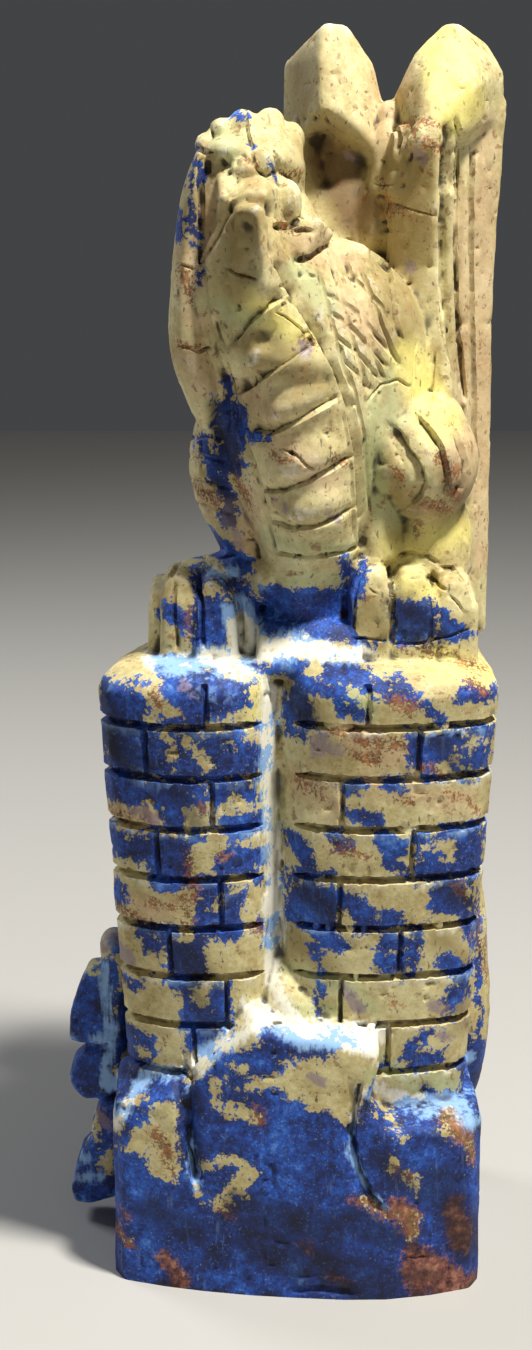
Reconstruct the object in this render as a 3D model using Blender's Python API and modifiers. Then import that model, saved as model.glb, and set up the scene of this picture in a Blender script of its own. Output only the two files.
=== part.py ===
"""Dragon on a brick tower, carved from one block of blue and tan azurite stone.

One solid. The tower is lofted course by course, the rocks, the coiled tail and the dragon
are rounded lumps fused together, and the carver's grooves are cut into the fused stone.
Metres, +Z up, +X to the right as seen from the front, +Y away from the viewer.
The origin is the middle of the flat underside.
"""
import math

import bmesh
import bpy
import numpy as np
from mathutils import Matrix, Vector

NAME = "azurite_dragon_carving"

# Driving sizes
DRAGON_HEIGHT = 0.094       # from the perch to the tips of the wings
PERCH_RISE = 0.0045         # how far the perch is domed above the edge of the top course
TOWER_EDGE_HEIGHT = 0.0955  # underside to the top edge of the top course
TOWER_TOP_WIDTH = 0.0604    # across the top course
TOWER_FOOT_WIDTH = 0.0536   # across the tower where it meets the rocks
TOWER_DEPTH = 0.047         # nearest point of the lobes to the plain back
TOWER_LEAN = 0.20           # share by which the tower's foot is shallower than its top
LOBE_BOW = 0.0056           # how far a lobe's outer edge stands back from its middle
CHANNEL_DEPTH = 0.0024      # hollow between the two lobes
CHANNEL_WIDTH = 0.0040
COURSE_HEIGHT = 0.0080      # one brick course with its mortar line
COURSES = 7
FIRST_LINE = 0.0045         # from the top edge down to the first mortar line
MORTAR_GAP = 0.0011
MORTAR_DEPTH = 0.0010
BASE_WIDTH = 0.0580
BASE_DEPTH = 0.0490
BASE_HEIGHT = 0.0290

# Proportions
FRONT_SHARE = 0.55          # share of the tower's depth that lies ahead of the middle
BACK_SHARE = 0.44           # share of it from the middle to the back that the joints reach
TAPER_COURSES = 7.5         # courses from the top edge down to the rocks, where the tower is narrowest
CHANNEL_PLACE = -0.103      # middle of the hollow, as a share of the half width
LOBE_PEAKS = (-0.45, 0.42)  # nearest points of the two lobes, as shares of the half width

# Values that steer the making, not the shape
VOXEL = 0.0007              # grid on which the lumps are fused
FIGURE_TRIANGLES = 6300


def clear_scene():
    """Start from an empty scene."""
    for ob in list(bpy.data.objects):
        bpy.data.objects.remove(ob)


def new_object(name, bm, coll):
    """An object of that name, made of the worked mesh and put in the collection."""
    mesh = bpy.data.meshes.new(name)
    bm.to_mesh(mesh)
    bm.free()
    ob = bpy.data.objects.new(name, mesh)
    coll.objects.link(ob)
    return ob


def smooth_between(a, b, t):
    """0 at a, 1 at b, with an easy slope at both ends."""
    t = min(max((t - a) / (b - a), 0.0), 1.0)
    return t * t * (3 - 2 * t)


def ball_points():
    """The corners of a finely divided ball of radius one."""
    ball = bmesh.new()
    bmesh.ops.create_icosphere(ball, subdivisions=3, radius=1.0)
    points = np.array([v.co for v in ball.verts])
    ball.free()
    return points


BALL = ball_points()


class Lumps:
    """Rounded bodies gathered into one mesh before they are fused."""

    def __init__(self):
        self.points = []
        self.faces = []
        self.count = 0

    def add(self, points, faces):
        self.points.append(points)
        self.faces += [[i + self.count for i in face] for face in faces]
        self.count += len(points)

    def wrap(self, points):
        """The tight skin over a cloud of points."""
        made = bmesh.new()
        for p in points:
            made.verts.new(p)
        bmesh.ops.convex_hull(made, input=made.verts)
        bmesh.ops.delete(made, geom=[v for v in made.verts if not v.link_faces], context="VERTS")
        made.verts.index_update()
        skin = np.array([v.co for v in made.verts])
        self.add(skin, [[v.index for v in f.verts] for f in made.faces])
        made.free()

    def egg(self, place, x, y, z, rx, ry, rz):
        centre, radii = place((x, y, z, rx, ry, rz))
        self.wrap(BALL * radii + centre)

    def chain(self, place, *stations):
        """A limb through stations (x, y, z, rx, ry, rz), skinned from each egg to the next."""
        rows = [np.array(s, float) for s in stations]
        eggs = []
        for i in range(len(rows) - 1):
            before, a = rows[max(i - 1, 0)], rows[i]
            b, after = rows[i + 1], rows[min(i + 2, len(rows) - 1)]
            for k in range(3):
                t = k / 3
                eggs.append(0.5 * (2 * a + (b - before) * t
                                   + (2 * before - 5 * a + 4 * b - after) * t * t
                                   + (3 * a - before - 3 * b + after) * t * t * t))
        eggs.append(rows[-1])
        placed = [place(row) for row in eggs]
        for (c1, r1), (c2, r2) in zip(placed, placed[1:]):
            self.wrap(np.concatenate([BALL * r1 + c1, BALL * r2 + c2]))

    def block(self, place, *knobs):
        """A block with rounded corners, stretched over balls (x, y, z, r)."""
        cloud = []
        for x, y, z, r in knobs:
            centre, radii = place((x, y, z, r, r, r))
            cloud.append(BALL * radii + centre)
        self.wrap(np.concatenate(cloud))

    def body(self, name, coll):
        mesh = bpy.data.meshes.new(name)
        mesh.from_pydata(np.concatenate(self.points).tolist(), [], self.faces)
        ob = bpy.data.objects.new(name, mesh)
        coll.objects.link(ob)
        return ob


def on_perch(row):
    """The figure's numbers make it 94 high from the perch to the tips of the wings."""
    x, y, z, rx, ry, rz = (v * DRAGON_HEIGHT / 94 for v in row)
    return np.array((x, y, z + TOWER_EDGE_HEIGHT + PERCH_RISE)), (rx, ry, rz)


def in_base(row):
    """Rock and tail numbers are millimetres of a base 58 wide, 49 deep, 29 high."""
    wide, deep, high = BASE_WIDTH / 58, BASE_DEPTH / 49, BASE_HEIGHT / 29
    x, y, z, rx, ry, rz = row
    return np.array((x * wide, y * deep, z * high)), (rx * wide, ry * deep, rz * high)


def torso(lumps):
    """The upright body: belly, chest with the plates ahead of it, shoulder, and a plain back."""
    lumps.chain(on_perch, (1.6, -4, 0, 8.8, 11.4, 6), (1.6, -4.6, 9, 8.2, 12, 6), (1.6, -7, 18, 9, 14, 7),
                (0.5, -8, 30, 12, 15.5, 9), (0, -8, 42, 13.5, 15.5, 8), (-1, -8, 50, 13, 15, 8),
                (-4, -8, 57, 10.5, 14, 7), (-5, -8, 64, 7.5, 11, 6))
    lumps.chain(on_perch, (-3.4, -14, 51, 7.4, 10.5, 6), (-0.8, -13.5, 40, 8.6, 11.5, 7),
                (0.6, -12.5, 30, 8.2, 11.5, 7), (1.7, -12, 21, 7.0, 11, 5))
    lumps.chain(on_perch, (6.5, -4, 56, 7.5, 10, 4.5), (9, -4, 50, 9.5, 12, 6), (10, -3, 42, 10.5, 12.5, 7),
                (10, -3, 32, 11, 13, 8))
    lumps.block(on_perch, (-5.0, -19.0, -1.5, 1.5), (8.0, -19.6, -1.5, 1.5), (-4.6, -15.6, 3.6, 1.5),
                (7.6, -16.2, 3.6, 1.5), (-4, -8, 5, 2), (7, -8, 5, 2))
    lumps.chain(on_perch, (2, 7, 0, 13, 11, 6), (2, 7, 20, 13, 12, 10), (1, 6, 45, 12, 12, 10),
                (1, 7, 55, 10, 10, 6))


def head(lumps):
    """The head thrown back: brow lobes, snout, the open jaw, the throat and the short stub of a horn."""
    lumps.chain(on_perch, (-5.6, -7, 66, 6.4, 10, 5), (-6, -8, 71, 6.9, 10, 6.4))
    lumps.block(on_perch, (-13.2, -15.6, 73.4, 1.2), (-5.2, -17.2, 73.8, 1.2), (-13.6, -16.0, 66.0, 1.2),
                (-10.8, -18.8, 69.6, 1.4), (-6.6, -19.6, 69.4, 1.4), (-3.8, -17.8, 68.6, 1.4),
                (-13.4, -15.0, 58, 1.2), (-3.4, -16.4, 58, 1.2), (-9.0, -20.0, 62, 1.6),
                (-12, -8, 73, 2), (-2.6, -8, 73, 2), (-2.6, -8, 58, 2), (-12, -8, 56, 2))
    lumps.block(on_perch, (-13.3, -13.6, 73.8, 1.5), (-11.1, -13.2, 75.8, 1.7), (-8.0, -12.8, 76.8, 2.0),
                (-4.4, -11.0, 77.1, 2.2), (-1.4, -8.0, 75.7, 1.9), (-13.0, -15.8, 72.4, 1.2),
                (-8.0, -18.2, 72.6, 1.6), (-3.6, -17.4, 72.4, 1.8), (-1.4, -13, 71.4, 2),
                (-8, -3, 74.5, 2.4), (-3, -3, 74.5, 2.4))
    for egg in ((-13.5, -13, 74.4, 1.7, 3, 1.9), (-11.2, -12, 76.2, 2.0, 4, 2.3),
                (-8.1, -11, 77.0, 2.5, 5, 2.7), (-4.3, -9, 77.2, 2.5, 5, 2.9),
                (-1.3, -6, 75.6, 2.1, 5, 2.7), (-10.3, -16.6, 73.4, 3.4, 4, 2.3),
                (-5.2, -19.5, 71.7, 1.9, 1.6, 2.2), (-7.6, -17, 70.6, 3.4, 5, 2.6),
                (-1.9, -17.2, 66.3, 2.2, 3.6, 3.4)):
        lumps.egg(on_perch, *egg)
    lumps.block(on_perch, (-10.4, -23.4, 66.6, 1.2), (-5.8, -23.6, 67.0, 1.2), (-11.0, -18.0, 70.2, 1.2),
                (-4.8, -18.4, 70.4, 1.2), (-11.0, -19, 61, 1.6), (-5.0, -19, 61, 1.6))
    lumps.chain(on_perch, (-12.4, -14.8, 69.4, 2.4, 4.6, 1.8), (-12.6, -14.6, 64.5, 2.6, 5, 3.5),
                (-12.6, -14, 59, 2.2, 5, 2.6))
    lumps.block(on_perch, (-6.2, -26.8, 64.8, 1.1), (-5.9, -27.0, 60.5, 1.0), (-5.2, -26.2, 55, 1.0),
                (-4.2, -24.4, 50, 1.0), (-10.0, -23.6, 64.6, 1.0), (-12.6, -21.0, 59.5, 1.2),
                (-14.6, -18.8, 53.5, 1.4), (-13.8, -17.2, 47, 1.4), (-4.0, -22.0, 63, 1.0),
                (-3.0, -21.6, 59, 1.2), (-0.8, -20.2, 54, 1.4), (1.0, -18.6, 49, 1.6), (-7, -16, 64, 2),
                (-8, -12, 50, 3))
    lumps.chain(on_perch, (-8.6, -21.2, 63.4, 2.2, 3.2, 1.8), (-9.0, -19.2, 59, 3.0, 4.8, 3.4),
                (-8.1, -16.8, 53, 5.2, 6.6, 4.6), (-5.8, -15.0, 46, 7.2, 9.6, 6))
    lumps.chain(on_perch, (-4.6, -20, 67.8, 1.5, 3, 1.4), (-3.6, -18.5, 62.4, 1.5, 4, 3),
                (-1.4, -16.5, 57.6, 1.8, 4, 2.0))
    lumps.block(on_perch, (-2.8, -20.2, 62.6, 0.9), (2.4, -18.4, 63.4, 0.9), (3.9, -14.8, 62.0, 0.9),
                (0.6, -20.2, 59.4, 0.9), (-2.4, -20.6, 59.8, 0.9), (-3.5, -9, 60, 2), (0, -6, 60, 3))
    lumps.block(on_perch, (-13.2, -16.4, 71.6, 1.2), (-13.7, -17.2, 66, 1.4), (-14.2, -17.6, 60, 1.5),
                (-14.4, -17.0, 55, 1.6), (-13, -10, 70, 2), (-13.5, -10, 56, 2))


def mane(lumps):
    """The long lock that hangs from the temple down the left of the neck and chest."""
    lumps.chain(on_perch, (-14.3, -17, 72.6, 0.7, 2.4, 1.2), (-15.4, -16, 66, 1.9, 4, 3),
                (-16.0, -15, 56, 2.6, 5, 4), (-15.9, -14.5, 46.5, 3.2, 5.5, 3.5),
                (-14.3, -14.5, 39.5, 2.6, 5, 3), (-13.7, -14, 35.0, 1.1, 3.5, 1.4))
    lumps.chain(on_perch, (-12.6, -14.2, 68, 2.2, 4.2, 3), (-13.2, -13.8, 57, 2.8, 5.0, 4),
                (-12.4, -12.6, 47, 3.4, 6.0, 4), (-11.0, -10.0, 37, 3.8, 6.6, 4))


def foot(lumps, toes, heel):
    """Square-cut toes side by side, each rounded over at its top and standing on the perch."""
    for x, front, top, half in toes:
        in_x = half - 1.2
        knobs = [(x + s * in_x, front + y, z, 1.2) for s in (-1, 1)
                 for y, z in ((1.2, -1), (1.2, top - 5.2), (9.0, -1), (9.0, top - 3.4))]
        knobs += [(x + s * in_x * 0.45, front + y, z, 1.2) for s in (-1, 1)
                  for y, z in ((2.0, top - 2.4), (5.0, top - 1.2), (10.0, top - 1.6))]
        lumps.block(on_perch, *knobs)
    lumps.block(on_perch, *heel)


def legs(lumps):
    """Two hind legs drawn up under the body, each on square-cut toes, and the arch behind the left foot."""
    lumps.chain(on_perch, (17.6, -5, 34, 7.8, 10, 6), (18.8, -5.4, 28.2, 8.7, 11.5, 9.6))
    lumps.chain(on_perch, (11.0, -4.6, 34, 4.4, 8.6, 4), (11.6, -4.4, 24, 4.8, 9.0, 5),
                (12.2, -5.0, 15, 5.0, 8.6, 3.4))
    lumps.chain(on_perch, (15.6, -6.6, 34, 6.8, 8.6, 4), (13.6, -7.4, 28.5, 5.6, 8.4, 6.4))
    lumps.chain(on_perch, (19.5, -3, 20, 7, 8, 4), (18.6, -4, 12.5, 8.6, 8, 5))
    foot(lumps, ((10.9, -17.8, 14.4, 3.5), (17.2, -18.2, 13.4, 3.3), (23.4, -17.2, 12.4, 3.6)),
         ((10, -8, 3, 2.4), (24.4, -8, 3, 2.4), (24.6, 2, 0, 2.4), (10, 2, 0, 2.4), (17, -14, -1, 2),
          (23, -13, -1, 2), (11, -13, -1, 2)))
    lumps.chain(on_perch, (-10.8, -5, 34.6, 4.4, 8.5, 5), (-10.8, -5, 27.4, 5.8, 9.5, 7.5),
                (-8.8, -5, 19.4, 4.8, 8.5, 5), (-7.0, -5, 14.0, 4.2, 7.5, 3.5))
    foot(lumps, ((-12.3, -17.4, 12.6, 3.2), (-18.1, -16.4, 13.0, 2.7), (-21.0, -13.6, 10.8, 1.8)),
         ((-19, -6, 3, 2.0), (-9, -8, 3, 2.4), (-8, 2, 0, 2.4), (-18, 2, 0, 2.0), (-12, -12, -1, 2)))
    lumps.chain(on_perch, (-10, -9, 12.0, 5, 5, 3), (-15, -7, 10.5, 5, 6, 3))
    lumps.chain(on_perch, (-13.0, -9.6, 12.4, 2.2, 3.4, 2.0), (-10.0, -10.4, 10.4, 2.2, 3.6, 2.2),
                (-7.8, -11.2, 5.6, 2.0, 3.6, 2.6), (-7.0, -12.0, -1, 2.2, 3.6, 2.2))
    lumps.chain(on_perch, (-8, -2, 10, 5, 7, 4), (-15, -1, 8.0, 5, 6, 4))
    lumps.egg(on_perch, -4.6, -9, 11.0, 4.2, 6.5, 4.4)


def wings(lumps):
    """Two folded wings. The right one reaches forward as an arm and hangs down in two folds; between
    them a hollow is left open, and the back of both is one plain wall."""
    lumps.block(on_perch, (23.7, 9.0, 91.0, 2.7), (17.6, 9, 83.4, 2.2), (19.7, 9, 87.7, 2.2),
                (27.2, 10.5, 89.0, 2.6), (29.2, 12, 85.8, 2.7), (29.5, 12.5, 80, 2.4), (20.6, 3.4, 84, 2.6),
                (25.0, 4.0, 84.2, 2.6), (19.6, -1.0, 77.4, 2.2), (22.6, 1.4, 77.4, 2.0), (27, 7.6, 80, 2.2),
                (24, 18, 87, 3), (17, 17, 80, 3), (29.8, 19, 78, 3))
    lumps.egg(on_perch, 19.2, -1.8, 75.8, 3.2, 2.8, 2.6)
    lumps.block(on_perch, (20.7, -3.6, 76, 0.9), (20.4, -4.4, 66, 0.9), (20.4, -4.8, 56, 0.9),
                (15.6, 2.6, 77, 1.2), (13.9, 1.4, 66, 1.0), (13.8, 1.2, 56, 1.0), (20, 10, 76, 1.5),
                (16, 10, 76, 2), (20, 10, 56, 1.5), (15, 10, 56, 2))
    lumps.block(on_perch, (20.4, -4.8, 57, 0.9), (20.8, -5.8, 47, 1.0), (22.0, -7.6, 39, 1.4),
                (13.8, 1.2, 57, 1.0), (14.2, -0.2, 47, 1.2), (13.4, -4.4, 39, 1.8), (20, 10, 57, 1.5),
                (15, 10, 57, 2), (22, 8, 39, 2), (14, 8, 39, 2))
    lumps.block(on_perch, (21.0, 4.0, 77, 1.2), (26.2, 9.2, 81, 1.2), (31.4, 12.4, 82, 1.2),
                (21.0, 4.2, 56, 1.2), (26.0, 9.4, 56, 1.2), (29.9, 12.6, 56, 1.2), (20, 14, 77, 2),
                (30.4, 18, 82, 2), (20, 14, 56, 2), (29.2, 18, 56, 2))
    lumps.block(on_perch, (21.0, 4.2, 58, 1.2), (26.0, 9.4, 58, 1.2), (29.9, 12.6, 58, 1.2),
                (23.4, 8.0, 24, 1.2), (27.0, 10.4, 8, 1.2), (30.2, 13.0, -1, 1.2), (22, 14, 58, 2),
                (29.2, 18, 58, 2), (22, 14, 0, 2), (29.4, 18, -1, 2))
    lumps.chain(on_perch, (22.4, 0.6, 77.4, 1.6, 2.2, 1.6), (22.5, 2.0, 73, 1.7, 2.2, 2.6),
                (22.9, 4.2, 67, 1.5, 2.0, 4),
                (23.3, 5.6, 55, 1.2, 2.0, 4), (24.4, 7.2, 38, 1.1, 2.0, 3))
    lumps.chain(on_perch, (25.3, 7.8, 79.0, 0.7, 1.4, 1.5), (25.2, 8.0, 68, 1.5, 2.4, 4),
                (25.7, 8.4, 52, 1.6, 2.4, 4), (27.0, 10.0, 22, 1.3, 2.4, 3))
    lumps.block(on_perch, (14.5, 10.6, 80, 2.5), (27, 16, 80, 2.5), (14, 9, 0, 3), (27, 16, -2, 3),
                (16, 20, 80, 3), (27, 20, 78, 3), (14, 21, 0, 3), (28, 20, -2, 3))
    lumps.block(on_perch, (4.7, 9.0, 92.0, 1.6), (6.7, 9.8, 91.9, 1.6), (3.7, 6.6, 88, 1.0),
                (-0.4, 17.2, 87.8, 1.6), (-0.4, 17.2, 78, 1.8), (9.8, 12.8, 87.2, 2.0),
                (3.9, 4.7, 80.6, 1.0), (5.6, 4.8, 80.4, 1.2), (9.2, 7.2, 77.4, 1.2),
                (12.0, 9.6, 74.8, 1.2), (11.8, 17, 80, 2.4), (5, 20, 84, 3), (1, 18, 76, 3))
    lumps.block(on_perch, (1.2, 12.6, 79, 2), (11.6, 14.4, 76, 2), (1.0, 12.8, 62, 2.4), (7.4, 16.0, 68, 2),
                (13.0, 12.0, 62, 2.4), (0.4, 8, 54, 3), (13, 8, 54, 3), (1, 18, 78, 2), (12, 18, 77, 2),
                (0, 16, 54, 2), (12, 16, 54, 2))
    lumps.chain(on_perch, (14.4, 14, 80.6, 1.8, 3, 1.6), (14.2, 11, 77.4, 2.6, 4, 3),
                (13.6, 9.2, 70, 3.0, 5, 4), (13.2, 6.8, 62, 3.6, 5, 4))
    lumps.egg(on_perch, 4.6, -7.2, 58.2, 6.8, 6.2, 3.4)
    lumps.block(on_perch, (-1, 18, 76, 2.5), (11, 18, 78, 2.5), (-10, 14, 60, 3), (-10.5, 14, 30, 3),
                (-7.5, 15, 0, 3), (12, 16, 60, 3), (10, 20, 0, 3), (-9, 20, 40, 3), (-6, 21, 0, 3),
                (0, 21, 72, 3), (11, 21, 74, 3))


BASE_FRONT = ((-27.7, -18.4), (-26.4, -20.9), (-20.3, -22.9), (-14.5, -24.3), (-7.3, -25.6),
              (0.0, -26.4), (7.3, -27.0), (13.6, -26.9), (20.3, -25.6), (26.1, -23.6), (27.4, -21.2))
KNOB = 1.3                  # rounding of the base's edges, in base numbers


def base_front(x):
    """How far forward the bowed front of the base stands at x."""
    xs, ys = zip(*BASE_FRONT)
    return float(np.interp(x, xs, ys))


def rock(lumps, back, bevel, *outline):
    """A rock on the base's front: its top slopes down by the bevel to the face below."""
    knobs = []
    for x, z in outline:
        front = base_front(x) + KNOB
        knobs += [(x, front, z - bevel - KNOB, KNOB), (x, front + 3.0, z - KNOB, KNOB),
                  (x, back, z - KNOB, KNOB)]
    lumps.block(in_base, *knobs)


def rocks(lumps):
    """Rocks that stand up against the foot of the tower, and the foot of the channel between them."""
    rock(lumps, -8, 2.2, (-27.0, 22), (-27.2, 32.2), (-22.6, 32.8), (-19.3, 34.6), (-19.3, 22))
    rock(lumps, -11, 2.0, (-16.4, 24), (-16.6, 36.8), (-13.0, 39.4), (-9.4, 42.6), (-6.6, 46.6),
         (-4.6, 45.2), (-4.0, 24))
    rock(lumps, -11, 1.6, (-6.6, 24), (-5.6, 45.4), (-2.6, 44.2), (1.0, 43.4), (11.0, 43.2),
         (11.0, 41.4), (7.0, 24))
    rock(lumps, -14, 1.4, (8.6, 22), (9.3, 33.6), (10.4, 31.6), (12.6, 29.6), (14, 22))
    rock(lumps, -10, 1.4, (11.0, 22), (13.0, 29.3), (20, 29.3), (27.2, 29.3), (27.2, 22))
    lumps.chain(in_base, (-2.6, -13.0, 50.5, 2.6, 4.6, 2.6), (-1.4, -15.6, 46.4, 4.2, 6, 2.8),
                (0.6, -16.4, 42.6, 6.4, 6.6, 2.6))


# Outlines of the four fins on the tail's outer edge, as seen from the front
FINS = (((-33.4, 43.4), (-31.0, 43.6), (-34.8, 40.6), (-36.2, 36.4), (-36.4, 32.4), (-33, 32.0), (-29.6, 32),
         (-29.4, 43)),
        ((-33.6, 29.4), (-36.0, 27.2), (-36.6, 25.2), (-36.2, 23.6), (-34.8, 22.2), (-32, 22.6), (-29.6, 24),
         (-30, 30)),
        ((-31.6, 20.6), (-33.2, 15.6), (-29, 12), (-29, 20)),
        ((-33.4, 13.2), (-34.8, 11.6), (-35.8, 8.6), (-36.6, 4.8), (-36.3, 3.6), (-34.6, 3.4), (-31, 4.6),
         (-29.6, 13)))


def tail(lumps):
    """The tail comes down the right side, round behind the base and up the left, with its fins."""
    lumps.chain(in_base, (4, 16, 97, 8, 6, 7), (10, 22, 84, 7, 5.5, 8), (20, 20, 68, 6.5, 6, 8),
                (27, 12, 55, 4.6, 6, 5.0), (28, 9, 42, 4.6, 6, 7), (28, 9, 28, 4.6, 6, 6),
                (24, 17, 16, 5.4, 6, 7), (8, 24, 10, 7, 5, 8), (-10, 24, 10, 7, 5, 8),
                (-24, 15, 13, 5.4, 5.5, 8), (-29.4, 7, 20, 3.0, 5, 6), (-30, 4, 32, 2.8, 4.4, 6),
                (-29.6, 3, 43, 2.6, 4, 4), (-30.0, 3.2, 47.4, 2.4, 3.6, 2.8))
    for fin in FINS:
        lumps.block(in_base, *((x, y - 0.1 * (x + 30), z, 1.1) for x, z in fin for y in (0.6, 4.4)))


def base_block(lumps):
    """The plain block of the base, bowed at the front with its nearest edge right of middle."""
    corners = [(x, y + KNOB) for x, y in BASE_FRONT]
    corners += [(27.2, 20.6), (25, 22.5), (-25, 22.5), (-27.3, 19.6)]
    lumps.block(in_base, *((x, y, z, KNOB) for z in (-2, 14, 26.9) for x, y in corners))


def tower_plan():
    """Corners (x, y, share of the mortar's depth) around the top course, as seen from above."""
    channel = CHANNEL_PLACE
    left_peak, right_peak = LOBE_PEAKS
    half = TOWER_TOP_WIDTH / 2
    wide = CHANNEL_WIDTH / 2 / half
    offsets = (-3.2, -1.9, -1.25, -0.8, -0.4, 0.0, 0.4, 0.8, 1.25, 1.9, 3.2)
    xs = [-0.95, -0.84, -0.66, -0.5] + [channel + o * wide for o in offsets] + [0.3, 0.45, 0.62, 0.8, 0.94]
    plan = []
    for s in xs:
        peak = left_peak if s < channel else right_peak
        reach = abs(channel - peak) if abs(s) < abs(peak) or s * peak < 0 else 1.0 - abs(peak)
        bow = LOBE_BOW * min(abs(s - peak) / reach, 1.0) ** 2.4
        hollow = CHANNEL_DEPTH * math.exp(-((s - channel) / (1.1 * wide)) ** 2)
        mortar = smooth_between(0.85, 1.5, abs(s - channel) / wide)
        plan.append((s * half, -TOWER_DEPTH * FRONT_SHARE + bow + hollow, mortar))
    near = -TOWER_DEPTH * FRONT_SHARE + LOBE_BOW
    right = [(1.0, near + 0.0022), (1.0, near + 0.008), (1.0, near + 0.018), (0.99, near + 0.029),
             (0.90, near + 0.0375), (0.70, near + 0.040)]
    left = [(-0.30, near + 0.040), (-0.62, near + 0.034), (-0.86, near + 0.022), (-0.96, near + 0.011),
            (-1.0, near + 0.0024)]
    plan += [(s * half, y, 1.0) for s, y in right]
    plan += [(s * half, near + 0.041, 1.0) for s in (0.45, 0.2, -0.05)]
    plan += [(s * half, y, 1.0) for s, y in left]
    return plan


def tower_ring(bm, plan, z, cut=0.0, shrink=0.0):
    """One outline of the tower at height z, cut in by the mortar or shrunk towards its middle."""
    foot_share = TOWER_FOOT_WIDTH / TOWER_TOP_WIDTH
    foot_z = TOWER_EDGE_HEIGHT - TAPER_COURSES * COURSE_HEIGHT
    t = min(max((z - foot_z) / (TOWER_EDGE_HEIGHT - foot_z), -0.6), 1.0)
    share = foot_share + (1.0 - foot_share) * t
    depth_share = 1.0 - TOWER_LEAN * (1.0 - t)
    points = [Vector((x, y, 0)) for x, y, _ in plan]
    ring = []
    for i, (x, y, mortar) in enumerate(plan):
        along = points[(i + 1) % len(points)] - points[i - 1]
        inward = Vector((-along.y, along.x, 0)).normalized() * (mortar * cut)
        narrow = 1.0 - 2 * shrink / TOWER_TOP_WIDTH
        shallow = 1.0 - 2 * shrink / TOWER_DEPTH
        ring.append(bm.verts.new((x * share * narrow + inward.x, y * depth_share * shallow + inward.y, z)))
    return ring


def tower(coll):
    """The brick tower as a loft, with its mortar lines pressed in between the courses."""
    bm = bmesh.new()
    plan = tower_plan()
    rings = []
    foot = TOWER_EDGE_HEIGHT - (COURSES + 2) * COURSE_HEIGHT
    rings.append(tower_ring(bm, plan, foot))
    for k in range(COURSES, -1, -1):
        z = TOWER_EDGE_HEIGHT - FIRST_LINE - k * COURSE_HEIGHT
        half_gap = MORTAR_GAP / 2
        rings.append(tower_ring(bm, plan, z - half_gap))
        rings.append(tower_ring(bm, plan, z - half_gap * 0.7, cut=MORTAR_DEPTH))
        rings.append(tower_ring(bm, plan, z + half_gap * 0.7, cut=MORTAR_DEPTH))
        rings.append(tower_ring(bm, plan, z + half_gap))
    for rise, shrink in ((0.0, 0.0), (0.35, 0.0007), (0.68, 0.0024), (0.9, 0.0052), (1.0, 0.0092)):
        rings.append(tower_ring(bm, plan, TOWER_EDGE_HEIGHT + rise * PERCH_RISE, shrink=shrink))
    for low, up in zip(rings, rings[1:]):
        for i in range(len(low)):
            j = (i + 1) % len(low)
            bm.faces.new((low[i], low[j], up[j], up[i]))
    bm.faces.new(list(reversed(rings[0])))
    bm.faces.new(rings[-1])
    bmesh.ops.recalc_face_normals(bm, faces=bm.faces)
    return new_object("brick_tower", bm, coll)


def baked(ob):
    """The object's mesh with its modifiers worked in."""
    bpy.context.view_layer.update()
    graph = bpy.context.evaluated_depsgraph_get()
    mesh = bpy.data.meshes.new_from_object(ob.evaluated_get(graph))
    ob.modifiers.clear()
    ob.data = mesh
    return ob


def fuse(ob, voxel, rounds):
    """Make one closed skin of the overlapping lumps and round its inner corners off a little."""
    remesh = ob.modifiers.new("fuse", "REMESH")
    remesh.mode = "VOXEL"
    remesh.voxel_size = voxel
    smooth = ob.modifiers.new("soften", "SMOOTH")
    smooth.factor = 0.5
    smooth.iterations = rounds
    return baked(ob)


def thin_out(ob, triangles):
    """Keep about so many triangles, most of them where the form turns."""
    ob.modifiers.new("three sided", "TRIANGULATE")
    baked(ob)
    thin = ob.modifiers.new("thin out", "DECIMATE")
    thin.ratio = triangles / len(ob.data.polygons)
    return baked(ob)


def join_bodies(whole, other):
    """Make one body of the two."""
    union = whole.modifiers.new("join", "BOOLEAN")
    union.operation = "UNION"
    union.solver = "EXACT"
    union.object = other
    baked(whole)


def cut_away(whole, cutter):
    """Take one cutter, or a whole collection of them, out of the body."""
    cut = whole.modifiers.new("cut", "BOOLEAN")
    cut.operation = "DIFFERENCE"
    cut.solver = "EXACT"
    if isinstance(cutter, bpy.types.Collection):
        cut.operand_type = "COLLECTION"
        cut.collection = cutter
    else:
        cut.object = cutter
    baked(whole)


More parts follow.
